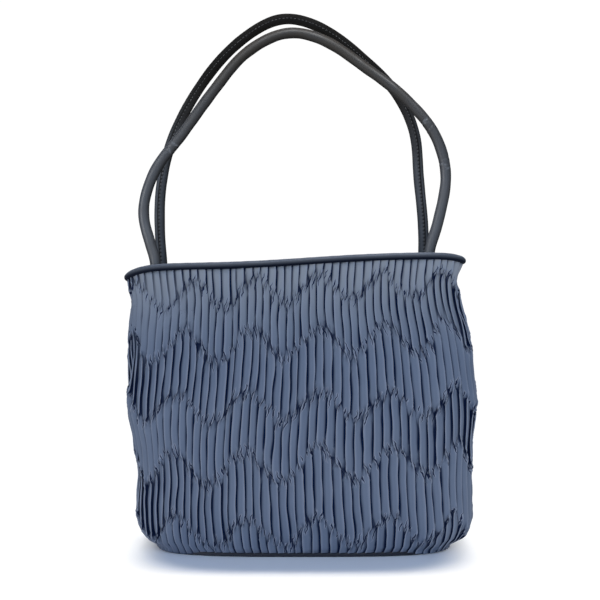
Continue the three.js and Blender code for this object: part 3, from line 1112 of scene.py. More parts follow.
@dataclass
class PleatedPanel:
    """One half of the body: nylon pressed into knife pleats that turn over along wavy lines."""

    name: str
    node: str
    first_pleat: int
    form: BodyForm
    seed: int

    # Size of the pleats in millimetres
    pleats: int = 52
    pitch: float = 6.5
    flap: float = 1.45
    flap_half: float = 0.36
    flap_angle: float = math.radians(84.0)
    tip_round: float = 0.7
    tip_lift: float = 0.15
    root_height: float = 0.15
    upright_share: float = 0.70
    valley_reach: float = 0.2
    valley_height: float = -1.3
    valley_drop: float = 0.4
    floor_curve: float = 1.5
    inner_lift: float = -2.2
    least_thickness: float = 0.55

    # Valleys between pleats that part from or close on each other
    open_ease: float = 0.6
    open_light: float = 0.75
    close_ease: float = 0.75
    close_light: float = 0.9
    close_rate: float = 1.4

    # Painted shade under and beside the folds, and the random tint of each strip
    under_rate: float = 3.0
    contact_edge: float = 0.3
    shade_core: float = 1.05
    shade_fade: float = 0.8
    standing_shade: float = 0.8
    standing_rate: float = 1.5
    strip_tint: float = 0.3

    # Turning lines and the tucks along them
    line_jitter: float = 1.9
    line_room: float = 0.9
    line_spacing: float = 200.0
    near_reach: float = 1.6
    turn_low: float = 3.4
    turn_high: float = 6.2
    tucks_per_pleat: float = 1.5
    tuck_slant: float = 0.30
    rim_clear: float = 5.0

    # Foot, mouth and seams
    foot: float = 3.5
    hem_drop: float = 2.9
    hem_from: float = 0.130
    hem_to: float = 0.165
    hem_height: float = 11.0
    hem_ease: float = 1.6
    top_tuck: float = 1.0
    rim_reach: float = 7.0
    rim_least: float = 0.6
    seam_share: float = 0.00001

    # Unevenness of the folds
    fall_wander: float = 0.10
    fall_range: tuple[float, float] = (0.8, 1.1)
    edge_wander: float = 0.045
    edge_scatter: float = 0.085
    tip_reach: float = 0.06
    tip_wander: float = 0.035
    height_wander: float = 0.12
    valley_crumple: float = 0.4

    # Deeper corners, eased patches, and gaping folds with painted shade in their hollows
    corner_deeper: float = 0.35
    corner_spot: float = 0.215
    corner_reach: float = 0.028
    eased_least: float = 0.35
    gape_down: float = 1.3
    gape_up: float = 0.4
    gape_from: float = -0.1
    gape_reach: float = 0.6

    # Coarser mesh of the inner face, and the flat cloth in metres
    inner_row_step: int = 2
    inner_columns: int = 4
    flat_width: float = 0.556
    flat_height: float = 0.235

    # Columns of one pleat: places along the wall in pleats, and along the unfolded cloth in millimetres
    COLUMN_PLACE = (0.0, 0.1, 0.2, 0.32, 0.42, 0.46, 0.48, 0.5, 0.52, 0.54, 0.58, 0.68, 0.8, 0.9)
    COLUMN_CLOTH = (0.0, 0.6, 1.4, 2.6, 3.6, 5.0, 5.15, 5.35, 5.55, 5.7, 7.1, 8.1, 9.3, 10.1)
    CLOTH_PER_PLEAT = 10.7
    # Columns on the floor left and right of the flap, outward from it, and the first that goes round it
    LEFT_FLOOR = (3, 2, 1, 0)
    RIGHT_FLOOR = (11, 12, 13)
    FIRST_ON_FLAP = 4
    LINE_ROWS = (-9.0, -7.0, -5.4, -4.1, -3.0, -2.1, -1.3, -0.5, 0.3, 1.1, 2.0, 3.0, 4.1, 5.4, 7.0, 9.0)
    # Place of each floor column from the flap's root to the valley, and its depth of painted shade
    FLOOR_COLUMNS = ((0.35, 0.0), (0.56, 0.0), (0.76, 0.25), (1.0, 1.0))
    BAND_ROWS = 5
    FOOT_ROWS = 4
    TOP_ROWS = (0.33, 0.66, 1.0)
    # Lengths of the slow waves along a pleat, and length, sideways and outward size of the small creases
    WANDER_LENGTHS = (26.0, 57.0, 119.0)
    CRUMPLES = ((4.2, 0.025, 0.12), (7.5, 0.04, 0.16))
    # Way that the pleats lean below the lowest line, and above the lines in turn
    LOWEST_LEAN = Lean.LEFT
    LEANS_ABOVE = (Lean.RIGHT, Lean.LEFT)

    def _row_heights(self, share: Array) -> Array:
        """Heights of the rows over places round the body, close together at the wavy lines.

        Args:
            share: Way round of each column.

        Returns:
            Heights in millimetres, one row of the mesh after another.
        """
        top = self.form.rim(share) - self.form.piping_radius + self.top_tuck
        foot = self.foot - self.hem_drop * self._hem(self.form.drifted(share, np.array(self.foot)))
        reach = self.LINE_ROWS[-1]
        lines = [self.form.line(k, share) for k in range(len(self.form.lines))]
        down = [np.minimum(1.0, self.line_room * (lines[0] - foot) / reach)] + [1.0] * (len(lines) - 1)
        up = [1.0] * (len(lines) - 1) + [np.minimum(1.0, self.line_room * (top - lines[-1]) / reach)]
        rows: list[Array] = []
        start, steps = foot, self.FOOT_ROWS
        for k, line in enumerate(lines):
            end = line - reach * down[k]
            shares = np.arange(steps) / steps if k == 0 else np.arange(1, steps) / steps
            rows.extend(start + (end - start) * t for t in shares)
            rows.extend(line + step * (down[k] if step < 0 else up[k]) for step in self.LINE_ROWS)
            start, steps = line + reach * up[k], self.BAND_ROWS + 1
        rows.extend(start + (top - start) * t for t in self.TOP_ROWS)
        return np.stack(rows)

    def _hem(self, share: Array) -> Array:
        """How far the cloth wraps down past the base, from 0 at the front and back to 1 at the sides."""
        side = np.abs(from_middle(share))
        return eased((side - self.hem_from) / (self.hem_to - self.hem_from))

    def _inner(self, share: Array, z: Array) -> Array:
        """Lift of the inner face, drawn outward where the hem covers the base."""
        low = clamped((self.hem_height - z) / (self.hem_height - self.foot))
        return self.inner_lift + self.hem_ease * self._hem(share) * low

    def _wander(self, rng: Random, z: Array, count: int, size: float) -> Array:
        """Slow seeded drift along the height of each strip of cloth.

        Args:
            rng: Seeded source of random numbers.
            z: Heights, with strips on the second axis.
            count: Number of strips.
            size: How far the drift goes.

        Returns:
            The drift at each height.
        """
        drift = np.zeros(z.shape)
        spread = size / math.sqrt(len(self.WANDER_LENGTHS))
        for length in self.WANDER_LENGTHS:
            phase = rng.uniform(0.0, TURN, count)
            amount = rng.normal(0.0, spread, count)
            drift += amount[None, :, None] * np.sin(TURN * z / length + phase[None, :, None])
        return drift

    def _tuck_places(self, share: Array, z: Array, s: Array) -> tuple[Array, Array]:
        """Places of the points among the slanting tucks of the nearest turning line.

        Args:
            share: Way round of each column.
            z: Heights of the points.
            s: Way along the wall in pleats.

        Returns:
            Number of tucks passed along the wall, and distance from the line in millimetres.
        """
        slide, passed = np.full(z.shape, self.form.rim_height), np.zeros(z.shape)
        for k, line in enumerate(self.form.lines):
            rise = z - self.form.line(k, share)
            way = self.LEANS_ABOVE[k % len(self.LEANS_ABOVE)].value
            closer = np.abs(rise) < np.abs(slide)
            slide = np.where(closer, rise, slide)
            tilted = s - way * self.tuck_slant * (z - line.z) / self.pitch
            passed = np.where(closer, self.tucks_per_pleat * tilted + self.line_spacing * k, passed)
        return passed, slide

    def _lean(self, rng: Random, z: Array, middle: Array) -> tuple[Array, Array]:
        """How far each pleat leans over at each height, and how near a turning line it is.

        Args:
            rng: Seeded source of random numbers.
            z: Heights of the points.
            middle: Way round of the middle of each pleat.

        Returns:
            Lean from -1, left, to 1, right, and nearness from 0 to 1.
        """
        lean = np.full(z.shape, float(self.LOWEST_LEAN.value))
        near = np.zeros(z.shape)
        for k in range(len(self.form.lines)):
            height = self.form.line(k, middle) + rng.normal(0.0, self.line_jitter, len(middle))
            width = rng.uniform(self.turn_low, self.turn_high, len(middle))
            offset = (z - height[None, :, None]) / width[None, :, None]
            lean = lean * -offset / np.sqrt(1.0 + offset * offset)
            near = np.maximum(near, bell(offset, self.near_reach))
        return lean, near

    def _profile(self, lean: Array, fall: Array) -> tuple[Array, ...]:
        """Cross-section of the pleats.

        Args:
            lean: Lean at each point, with the columns of a pleat on the last axis.
            fall: Share of the full angle that each pleat falls over.

        Returns:
            Place along the wall in pleats, height over it in millimetres, painted shade and painted
            highlight.
        """
        angle = lean * self.flap_angle * fall
        sine, cosine = np.sin(angle), np.cos(angle)
        upright = self.upright_share + (1.0 - self.upright_share) * np.abs(lean)
        tip_s = self.flap * sine
        tip_h = self.root_height + self.tip_lift + self.flap * cosine * upright
        r = self.flap_half
        left_s, left_h = -r * cosine, self.root_height + r * sine
        right_s, right_h = r * cosine, self.root_height - r * sine
        over = 0.5 * (lean + 1.0)
        under_left = clamped(-self.under_rate * lean)
        under_right = clamped(self.under_rate * lean)
        s, h, shade, pale = (np.zeros(lean.shape) for _ in range(4))

        def put(column: int, along: Array, height: Array, dark: Any, light: Any = 0.0) -> None:
            """Sets one column of every pleat.

            Args:
                column: Number of the column.
                along: Place along the wall in millimetres.
                height: Height over the wall in millimetres.
                dark: Depth of painted shade.
                light: Painted highlight.
            """
            s[..., column] = along[..., column]
            h[..., column] = height[..., column]
            shade[..., column] = dark[..., column] if np.ndim(dark) else dark
            pale[..., column] = light[..., column] if np.ndim(light) else light

        cover_left, cover_right = tip_s - r, tip_s + r
        before, after = self._neighbours(lean)
        for columns, other, root_s, root_h, way in (
            (self.LEFT_FLOOR, before, left_s, left_h, -1.0),
            (self.RIGHT_FLOOR, after, right_s, right_h, 1.0),
        ):
            inner_fold, valley_h = self._valley(0.5 * (lean + other) * np.abs(np.sign(other)))
            apart = 0.5 * way * (other - lean) * np.abs(np.sign(other))
            open_wide, closing = clamped(apart), clamped(-self.close_rate * apart)
            valley_h = valley_h * (1.0 - self.open_ease * open_wide - self.close_ease * closing)
            valley_s = inner_fold - self.pitch if way < 0 else inner_fold
            near = cover_left if way < 0 else cover_right
            far = way * self.pitch + self.flap * np.sin(other * self.flap_angle) - way * r
            # Painted shade on the floor towards the valley, and beside the folds that lean over it
            for column, (t, dark) in zip(columns, self.FLOOR_COLUMNS):
                along = root_s + (valley_s - root_s) * t
                height = root_h + (valley_h - root_h) * t**self.floor_curve
                own = self._contact(way * (along - near), way * lean)
                next_one = self._contact(way * (far - along), -way * other)
                floor = dark * (1.0 - self.open_light * open_wide - self.close_light * closing)
                beside = np.maximum(own, next_one) * (1.0 - self.close_light * closing)
                put(column, along, height, np.maximum(floor, beside))
        # Painted shade at the foot of a fin that stands upright
        standing = self.standing_shade * clamped(1.0 - self.standing_rate * np.abs(lean))
        slant = self.tip_round * r
        # Points round the flap, with painted shade under it and a painted highlight along its edge
        round_flap = (
            (left_s, left_h, np.maximum(under_left, standing), 0.0),
            (tip_s - r * cosine, tip_h + r * sine, under_left, 0.5 * over),
            (tip_s + slant * (sine - cosine), tip_h + slant * (cosine + sine), 0.0, 1.0),
            (tip_s + r * sine, tip_h + r * cosine, 0.0, 1.0),
            (tip_s + slant * (sine + cosine), tip_h + slant * (cosine - sine), 0.0, 1.0),
            (tip_s + r * cosine, tip_h - r * sine, under_right, 0.5 * (1.0 - over)),
            (right_s, right_h, np.maximum(under_right, standing), 0.0),
        )
        for column, values in enumerate(round_flap, start=self.FIRST_ON_FLAP):
            put(column, *values)
        return s / self.pitch + 0.5, h, shade, pale

    @staticmethod
    def _neighbours(lean: Array) -> tuple[Array, Array]:
        """Lean of the pleat before each pleat and of the one after it, none at the seams.

        Args:
            lean: Lean of each pleat, with the pleats on the second axis.

        Returns:
            The lean before and the lean after.
        """
        seam = np.zeros_like(lean[:, :1])
        before = np.concatenate((seam, lean[:, :-1]), axis=1)
        after = np.concatenate((lean[:, 1:-1], seam, seam), axis=1)
        return before, after

    def _contact(self, distance: Array, lean: Array) -> Array:
        """Painted shade on the cloth beside a fold that leans over it.

        Args:
            distance: Distance from the edge of the fold in millimetres.
            lean: How far the fold leans that way.

        Returns:
            The shade from 0 to 1.
        """
        over = clamped(lean)
        shade = 1.0 - (distance - self.shade_core * over) / (self.contact_edge + self.shade_fade * over)
        return clamped(shade) * clamped(self.under_rate * over)

    def _valley(self, lean: Array) -> tuple[Array, Array]:
        """Place of the inner fold from the pleat before it, and its height."""
        inner_fold = (0.5 - (0.5 - self.valley_reach) * lean) * self.pitch
        return inner_fold, self.valley_height - self.valley_drop * (1.0 - lean * lean)

    def _folds(self, rng: Random, pleat: Array, z: Array) -> tuple[Array, ...]:
        """Folded cross-sections of the pleats, with their seeded unevenness.

        Args:
            rng: Seeded source of random numbers.
            pleat: Number of each pleat round the body.
            z: Heights of the points.

        Returns:
            Place along the wall in pleats, height over it, painted shade, painted highlight and nearness to a
            turning line.
        """
        count = len(pleat)
        lean, near = self._lean(rng, z, (pleat + 0.5) / self.form.pleats_round)
        fall = 1.0 + self._wander(rng, z, count, self.fall_wander)
        s, h, shade, pale = self._profile(lean, np.clip(fall, *self.fall_range))
        edge = self._wander(rng, z, count, self.edge_wander)
        edge = edge + rng.normal(0.0, self.edge_scatter, count)[None, :, None]
        following = np.concatenate((edge[:, 1:], edge[:, -1:]), axis=1)
        s = s + edge * (1.0 - s) + following * s
        tip = bell(np.array(self.COLUMN_PLACE) - 0.5, self.tip_reach)
        s = s + tip * self._wander(rng, z, count, self.tip_wander)
        h = h * (1.0 + self._wander(rng, z, count, self.height_wander))
        s, h = self._crumple(rng, z, near, s, h)
        return s, h, shade, pale, near

    def _settled(
        self, share: Array, z: Array, h: Array, shade: Array, pale: Array
    ) -> tuple[Array, Array, Array]:
        """Deepens the folds at the corners and gaping places, flattens them at the rim and eased patches, and
        paints shade in the gaping hollows.

        Args:
            share: Way round of the points.
            z: Heights of the points.
            h: Height over the wall.
            shade: Depth of painted shade.
            pale: Painted highlight on the folds.

        Returns:
            The settled height, painted shade and painted highlight.
        """
        corner = np.abs(from_middle(share))
        depth = 1.0 + self.corner_deeper * bell(corner - self.corner_spot, self.corner_reach)
        room = (self.form.rim(share) - z) / self.rim_reach
        depth = depth * np.clip(self.rim_least + (1.0 - self.rim_least) * room, self.rim_least, 1.0)
        kept = 1.0 - self._patches(EASED_PATCHES, share, z)
        gape = self._patches(GAPING_FOLDS, share, z)
        opened = np.where(h < 0.0, 1.0 + self.gape_down * gape, 1.0 + self.gape_up * gape)
        h = h * depth * (self.eased_least + (1.0 - self.eased_least) * kept) * opened
        # Painted shade in the hollows of the gaping folds
        sunk = gape * clamped((self.gape_from - h) / self.gape_reach)
        h = np.maximum(h, self._inner(share, z) + self.least_thickness)
        return h, np.maximum(shade * kept, sunk), pale * kept

    def _unrolled(self, part: Array) -> Array:
        """Rows of values from seam to seam, without the pleat beyond the last seam."""
        wide = self.pleats * len(self.COLUMN_PLACE) + 1
        return part.reshape(len(part), -1)[:, :wide]

    def _outer(self) -> tuple[Array, dict[str, Array]]:
        """Points of the folded outer face.

        Returns:
            Points by row and column, and the values that the cloth's finish reads at each.
        """
        rng = np.random.default_rng(self.seed)
        pleat = self.first_pleat + np.arange(self.pleats + 1)
        nominal = (pleat[:, None] + np.array(self.COLUMN_PLACE)[None, :]) / self.form.pleats_round
        z = self._row_heights(nominal.ravel()).reshape(-1, *nominal.shape)
        s, h, shade, pale, near = self._folds(rng, pleat, z)
        share = self.form.drifted((pleat[None, :, None] + s) / self.form.pleats_round, z)
        h, shade, pale = self._settled(share, z, h, shade, pale)
        low = self.first_pleat / self.form.pleats_round + self.seam_share
        high = (self.first_pleat + self.pleats) / self.form.pleats_round - self.seam_share
        share, height, lift = (self._unrolled(part) for part in (np.clip(share, low, high), z, h))
        share[:, 0], share[:, -1] = low, high
        strip = rng.uniform(0.0, self.strip_tint, len(pleat))
        clear = clamped((self.form.rim(nominal)[None] - z - self.rim_clear) / self.rim_clear)
        wall, slide = self._tuck_places(nominal[None], z, np.arange(len(pleat))[None, :, None] + s)
        # Painted shade and painted highlight of the folds, with the tuck places and a random tint of each
        # strip, for the cloth's finish
        values = {
            "shade": shade,
            "pale": pale,
            "turn": near * clear,
            "strip": np.broadcast_to(strip[None, :, None], z.shape),
            "wall": wall,
            "slide": slide,
        }
        values = {title: self._unrolled(part) for title, part in values.items()}
        return self.form.point(share, height, lift), values

    @staticmethod
    def _patches(patches: Sequence[Dent], share: Array, z: Array) -> Array:
        """Strength from 0 to 1 of some patches of the cloth, of the strongest where they meet.

        Args:
            patches: The patches.
            share: Way round the body, from 0 to 1.
            z: Heights in millimetres.

        Returns:
            The strength at each place.
        """
        strength = np.zeros(np.broadcast(share, z).shape)
        for patch in patches:
            strength = np.maximum(strength, patch.depth_at(share, z))
        return strength

    def _crumple(self, rng: Random, z: Array, near: Array, s: Array, h: Array) -> tuple[Array, Array]:
        """Adds the small creases where the pleats turn over.

        Args:
            rng: Seeded source of random numbers.
            z: Heights of the points.
            near: Nearness to a turning line.
            s: Place along the wall in pleats.
            h: Height over the wall.

        Returns:
            The creased place and height.
        """
        shape = z.shape[1:]
        for length, sideways, outward in self.CRUMPLES:
            for target, size in ((s, sideways), (h, outward)):
                phase = rng.uniform(0.0, TURN, shape)
                amount = rng.normal(0.0, size, shape)
                amount[:, 0] *= self.valley_crumple
                target += near * amount * np.sin(TURN * z / length + phase)
        return s, h

    def build(self) -> Piece:
        """Makes the closed cloth panel.

        Returns:
            The panel's object.
        """
        outer, values = self._outer()
        rows, wide, _ = outer.shape
        finer = self.inner_columns
        share = (self.first_pleat + np.arange(self.pleats * finer + 1) / finer) / self.form.pleats_round
        share[0] += self.seam_share
        share[-1] -= self.seam_share
        picked = list(range(0, rows - 1, self.inner_row_step)) + [rows - 1]
        heights = self._row_heights(share)[picked]
        spots = self.form.drifted(share[None, :], heights)
        inner = self.form.point(spots, heights, self._inner(spots, heights))
        outer_ids = np.arange(rows * wide).reshape(rows, wide)
        inner_ids = rows * wide + np.arange(spots.size).reshape(spots.shape)
        faces = grid_faces(outer_ids).tolist() + grid_faces(inner_ids[:, ::-1]).tolist()
        faces += self._closing_faces(outer_ids, inner_ids, picked)
        points = np.concatenate((outer.reshape(-1, 3), inner.reshape(-1, 3)))
        piece = mesh_piece(self.name, points, faces)
        sharp_edges(piece, np.concatenate((inner_ids[0], inner_ids[-1], inner_ids[:, 0], inner_ids[:, -1])))
        for title, value in values.items():
            point_values(piece, title, np.concatenate((value.ravel(), np.zeros(spots.size))))
        cloth = np.arange(self.pleats + 1)[:, None] * self.CLOTH_PER_PLEAT + np.array(self.COLUMN_CLOTH)
        across = np.broadcast_to(cloth.ravel()[:wide], (rows, wide))
        inner_across = np.broadcast_to(np.arange(len(share)) * self.pitch / finer, spots.shape)
        across = np.concatenate((across.ravel(), inner_across.ravel()))
        lay_pattern(piece, across / MM_PER_CM, points[:, 2] / MM / MM_PER_CM)
        return piece

    def _closing_faces(self, outer_ids: Array, inner_ids: Array, picked: list[int]) -> list[list[int]]:
        """Faces that close the panel along its top, its foot and its two seams.

        Args:
            outer_ids: Point numbers of the outer face.
            inner_ids: Point numbers of the inner face.
            picked: Rows of the outer face that the inner face has too.

        Returns:
            Corner numbers of each face.
        """
        columns, finer = len(self.COLUMN_PLACE), self.inner_columns
        faces: list[list[int]] = []
        for k in range(self.pleats):
            run = slice(k * columns, (k + 1) * columns + 1)
            lining = slice(k * finer, (k + 1) * finer + 1)
            faces.append(outer_ids[-1, run].tolist() + inner_ids[-1, lining][::-1].tolist())
            faces.append(outer_ids[0, run][::-1].tolist() + inner_ids[0, lining].tolist())
        for k, (low, high) in enumerate(zip(picked[:-1], picked[1:])):
            left = outer_ids[low : high + 1, 0].tolist()
            right = outer_ids[low : high + 1, -1][::-1].tolist()
            faces.append(left + inner_ids[[k + 1, k], 0].tolist())
            faces.append(right + inner_ids[[k, k + 1], -1].tolist())
        return faces

    def dress(self, piece: Piece, material: Material) -> None:
        """Gives the panel its cloth and its place on the frame.

        Args:
            piece: The panel.
            material: Its cloth.
        """
        place(piece, material, "nylon", self.node)


# Leather pieces


@dataclass
class RimPiping:
    """Round leather piping sewn along the mouth."""

    form: BodyForm
    name: str = "piping_round_mouth"
    node: str = "rim_piping"
    steps: int = 420
    sides: int = 18
    cloth_middle: float = 0.4
    uneven: float = 0.10
    seed: int = 31
    darker_share: float = 0.15
    # Painted shade on the lower side of the piping, turned from the light
    shade_level: float = 0.82
    shade_swing: float = 0.95
    shade_turn: float = 0.2
    wrap: float = 1.13

    # Waves of the slight unevenness along the whole loop
    WAVES = (23, 41, 67)

    def build(self) -> Piece:
        """Makes the piping as a closed loop.

        Returns:
            The piping's object.
        """
        share = np.arange(self.steps) / self.steps
        z = self.form.rim(share)
        middle = self.form.point(share, z - self.form.piping_radius, np.array(self.cloth_middle))
        middle[:, 2] = z * MM
        along = unit(np.roll(middle, -1, axis=0) - np.roll(middle, 1, axis=0))
        up = unit(np.array((0.0, 0.0, 1.0)) - along * along[:, 2:3])
        out = np.cross(along, up)
        rng = np.random.default_rng(self.seed)
        radius = np.full(self.steps, self.form.piping_radius)
        for waves in self.WAVES:
            radius += rng.normal(0.0, self.uneven / 2) * np.sin(TURN * waves * share + rng.uniform(0.0, TURN))
        angle = TURN * np.arange(self.sides) / self.sides
        points = middle[:, None] + ring_spokes(angle, up, out) * radius[:, None, None] * MM
        piece = mesh_piece(self.name, points.reshape(-1, 3), ring_faces(self.steps, self.sides, loop=True))
        point_values(piece, "darker_share", np.full(self.steps * self.sides, self.darker_share))
        # Painted shade, darker round the lower side
        shade = clamped(self.shade_level - self.shade_swing * np.cos(angle - self.shade_turn))
        point_values(piece, "inside", np.tile(shade, self.steps))
        length = np.cumsum(np.linalg.norm(np.roll(middle, -1, axis=0) - middle, axis=1)) * CM_PER_M
        across = np.tile(np.abs(np.sin(angle / 2)) * self.wrap, self.steps)
        lay_pattern(piece, across, np.repeat(length, self.sides))
        return piece

    def dress(self, piece: Piece, material: Material) -> None:
        """Gives the piping its leather."""
        place(piece, material, "leather", self.node)


@dataclass
class BasePanel:
    """Flat leather base that the cloth is sewn to."""

    form: BodyForm
    name: str = "leather_base"
    node: str = "base_panel"
    thickness: float = 3.2
    edge_round: float = 0.8
    inset: float = 0.9
    corners: int = 112
    border: float = 6.0
    border_step: float = 1.0
    edge_segments: int = 3
    edge_angle: float = math.radians(40.0)
    darker_share: float = 0.3

    def build(self) -> Piece:
        """Makes the base from a filled round, drawn out to the body's foot, thickened and rounded.

        Returns:
            The base's object.
        """
        clear_selection()
        bpy.ops.mesh.primitive_circle_add(vertices=self.corners, radius=1.0, fill_type="NGON")
        piece = bpy.context.object
        piece.name = piece.data.name = self.name
        share = np.arange(self.corners) / self.corners
        foot = np.array(self.form.sections[0].z)
        edge = self.form.point(share, foot, np.array(-self.inset))
        for corner, spot in zip(piece.data.vertices, edge[::-1]):
            corner.co = (spot[0], spot[1], 0.0)
        bpy.ops.object.mode_set(mode="EDIT")
        bpy.ops.mesh.select_all(action="SELECT")
        bpy.ops.mesh.normals_make_consistent(inside=False)
        for width in (self.border, self.border_step):
            bpy.ops.mesh.inset(thickness=width * MM, depth=0.0)
        bpy.ops.object.mode_set(mode="OBJECT")
        thicken = piece.modifiers.new("thickness", "SOLIDIFY")
        thicken.thickness = self.thickness * MM
        thicken.offset = -1.0
        bpy.ops.object.modifier_apply(modifier=thicken.name)
        lowest = min(corner.co.z for corner in piece.data.vertices)
        for corner in piece.data.vertices:
            corner.co.z -= lowest
        bevel = piece.modifiers.new("edge", "BEVEL")
        bevel.width = self.edge_round * MM
        bevel.segments = self.edge_segments
        bevel.limit_method = "ANGLE"
        bpy.ops.object.modifier_apply(modifier=bevel.name)
        piece.select_set(True)
        bpy.ops.object.shade_smooth_by_angle(angle=self.edge_angle)
        point_values(piece, "darker_share", np.full(len(piece.data.vertices), self.darker_share))
        return piece

    def dress(self, piece: Piece, material: Material) -> None:
        """Gives the base its leather."""
        place(piece, material, "base_leather", self.node)


@dataclass(frozen=True)
class CreaseScatter:
    """How far the creases at a bend stray along the handle, slant and turn round it, and their reach."""

    along: float
    slant: float
    turned: float
    reach: float


@dataclass(frozen=True)
class HandleRun:
    """Centreline of a handle: its directions, flatness and running length at each ring, in millimetres."""

    centres: Array
    along: Array
    out: Array
    cross: Array
    flat: Array
    length: Array


@dataclass
class RolledHandle:
    """Leather handle rolled round a cord, lapped and stitched along its inner side, with flat sewn ends."""

    name: str
    node: str
    side: Side
    route: tuple[tuple[float, float], ...]
    creases: tuple[float, ...]
    form: BodyForm
    seed: int

    # Roll and its flat sewn ends in millimetres
    radius: float = 4.3
    top_depth: float = 14.0
    seat_gap: float = 0.3
    piping_allowance: float = 0.35
    tongue_allowance: float = 0.1
    wall: float = 1.4
    tongue_half_thickness: float = 1.7
    tongue_half_width: float = 7.0
    tongue_drop: float = 30.0
    flatten_height: float = 16.0

    # Steps of the curve and points of its rings
    rings: int = 900
    sides: int = 28
    curve_steps: int = 60
    ease_rings: int = 26
    ease_climb: float = 40.0

    # Lapped edge and stitches
    lap_step: float = 0.42
    lap_angle: float = math.radians(164.0)
    lap_width: float = math.radians(70.0)
    lap_flatter: float = 0.6
    lap_pair: float = 0.035
    lap_gap: float = 0.12
    stitch_pitch: float = 3.0
    stitch_length: float = 2.1
    stitch_radius: float = 0.26
    stitch_inset: float = math.radians(15.0)
    stitch_sink: float = 0.05
    stitch_end: float = 0.02
    bead_sides: int = 6
    bead_rings: int = 5

    # Painted shade, and the painted shade that darkens the handle towards its top
    lap_shade: float = 0.12
    hole_shade: float = 0.2
    shade_share: float = 0.9
    shade_rate: float = 1.2
    shade_from: float = 0.88
    turned_rate: float = 3.0
    turned_reach: float = 90.0
    darker_from: float = 290.0
    darker_reach: float = 100.0
    darker_most: float = 0.85

    # Creases at the bends: places and widths as shares of the length, heights in millimetres
    creases_each: int = 3
    crease_depth: float = 0.20
    crease_width: float = 0.0013
    ridge_height: float = 0.10
    ridge_offset: float = 0.0032
    ridge_width: float = 0.0022
    scuff_width: float = 0.0011
    scuff_share: float = 0.45
    uneven: float = 0.05

    # Direction that the light falls from: sideways, from the nearer side and from above
    LIT_FROM = (-0.22, 0.87, 0.44)
    WRINKLES = CreaseScatter(0.007, 0.0025, 0.9, 1.3)
    SCUFFS = CreaseScatter(0.006, 0.005, 0.7, 0.35)
    # Waves of the slight unevenness along the whole handle, and its share that turns round the handle
    WAVES = (9, 17, 31)
    TURNED_SHARE = 0.4

    def _centres(self) -> Array:
        """Even points of the centreline, in millimetres before the shift.

        Returns:
            The points, one row for each ring.
        """
        side = self.side.value
        seat = self.form.piping_radius + self.radius + self.seat_gap + self.piping_allowance
        x, z = np.array(self.route).T
        rim = self.form.rim_over(x, np.full_like(x, side * self.form.sections[-1].half_depth))
        foot = self.form.wall_depth(x, rim) - seat
        climb = clamped((z - rim) / (z.max() - rim))
        y = side * (foot + (self.top_depth - foot) * climb)
        knots = np.stack((x, y, z), axis=1)
        knots = np.concatenate((self._tongue_end(knots[0]), knots, self._tongue_end(knots[-1])))
        return self._smooth_curve(knots)

    def _outward(self, x: float, z: float) -> Array:
        """Outward direction of the wall in plan over a sideways place.

        Args:
            x: Sideways place in millimetres.
            z: Height in millimetres.

        Returns:
            The direction.
        """
        slope = self.form.wall_depth(np.array(x + 1.0), np.array(z))
        slope = slope - self.form.wall_depth(np.array(x - 1.0), np.array(z))
        return unit(np.array((-0.5 * float(slope), float(self.side.value), 0.0)))

    def _tongue_end(self, foot: Array) -> Array:
        """End of the flat tongue below a foot of the handle.

        Args:
            foot: Point of the centreline at the mouth.

        Returns:
            The end as one row.
        """
        z = float(self.form.rim_over(foot[0], foot[1])) - self.tongue_drop
        inset = self.wall + self.seat_gap + self.tongue_half_thickness + self.tongue_allowance
        depth = float(self.form.wall_depth(np.array(foot[0]), np.array(z)))
        wall = np.array((foot[0], self.side.value * depth, z))
        return (wall - inset * self._outward(foot[0], z))[None]

    def _smooth_curve(self, knots: Array) -> Array:
        """Even points of a smooth curve through knots, tightened by the root of their spacing.

        Args:
            knots: Points that the curve passes.

        Returns:
            The points, one for each ring.
        """
        first = 2 * knots[:1] - knots[1:2]
        last = 2 * knots[-1:] - knots[-2:-1]
        p = np.concatenate((first, knots, last))
        dense = []
        for i in range(len(knots) - 1):
            a, b, c, d = p[i : i + 4]
            t1 = np.sqrt(np.linalg.norm(b - a))
            t2 = t1 + np.sqrt(np.linalg.norm(c - b))
            t3 = t2 + np.sqrt(np.linalg.norm(d - c))
            t = np.linspace(t1, t2, self.curve_steps, endpoint=False)[:, None]
            ab = (t1 - t) / t1 * a + t / t1 * b
            bc = (t2 - t) / (t2 - t1) * b + (t - t1) / (t2 - t1) * c
            cd = (t3 - t) / (t3 - t2) * c + (t - t2) / (t3 - t2) * d
            abc = (t2 - t) / t2 * ab + t / t2 * bc
            bcd = (t3 - t) / (t3 - t1) * bc + (t - t1) / (t3 - t1) * cd
            dense.append((t2 - t) / (t2 - t1) * abc + (t - t1) / (t2 - t1) * bcd)
        run = np.concatenate(dense + [knots[-1:]])
        return self._eased(even_steps(run, self.rings))

    def _eased(self, curve: Array) -> Array:
        """Evens out the bends of a curve above the mouth, so that no bend starts abruptly.

        Args:
            curve: Even points of the centreline.

        Returns:
            The eased points.
        """
        weights = np.hanning(2 * self.ease_rings + 3)[1:-1]
        weights /= weights.sum()
        padded = np.pad(curve, ((self.ease_rings, self.ease_rings), (0, 0)), mode="edge")
        soft = np.stack([np.convolve(padded[:, k], weights, "valid") for k in range(3)], axis=1)
        above = curve[:, 2] - self.form.rim_over(curve[:, 0], curve[:, 1])
        share = clamped((above - self.radius) / self.ease_climb)
        return curve + (soft - curve) * share[:, None]

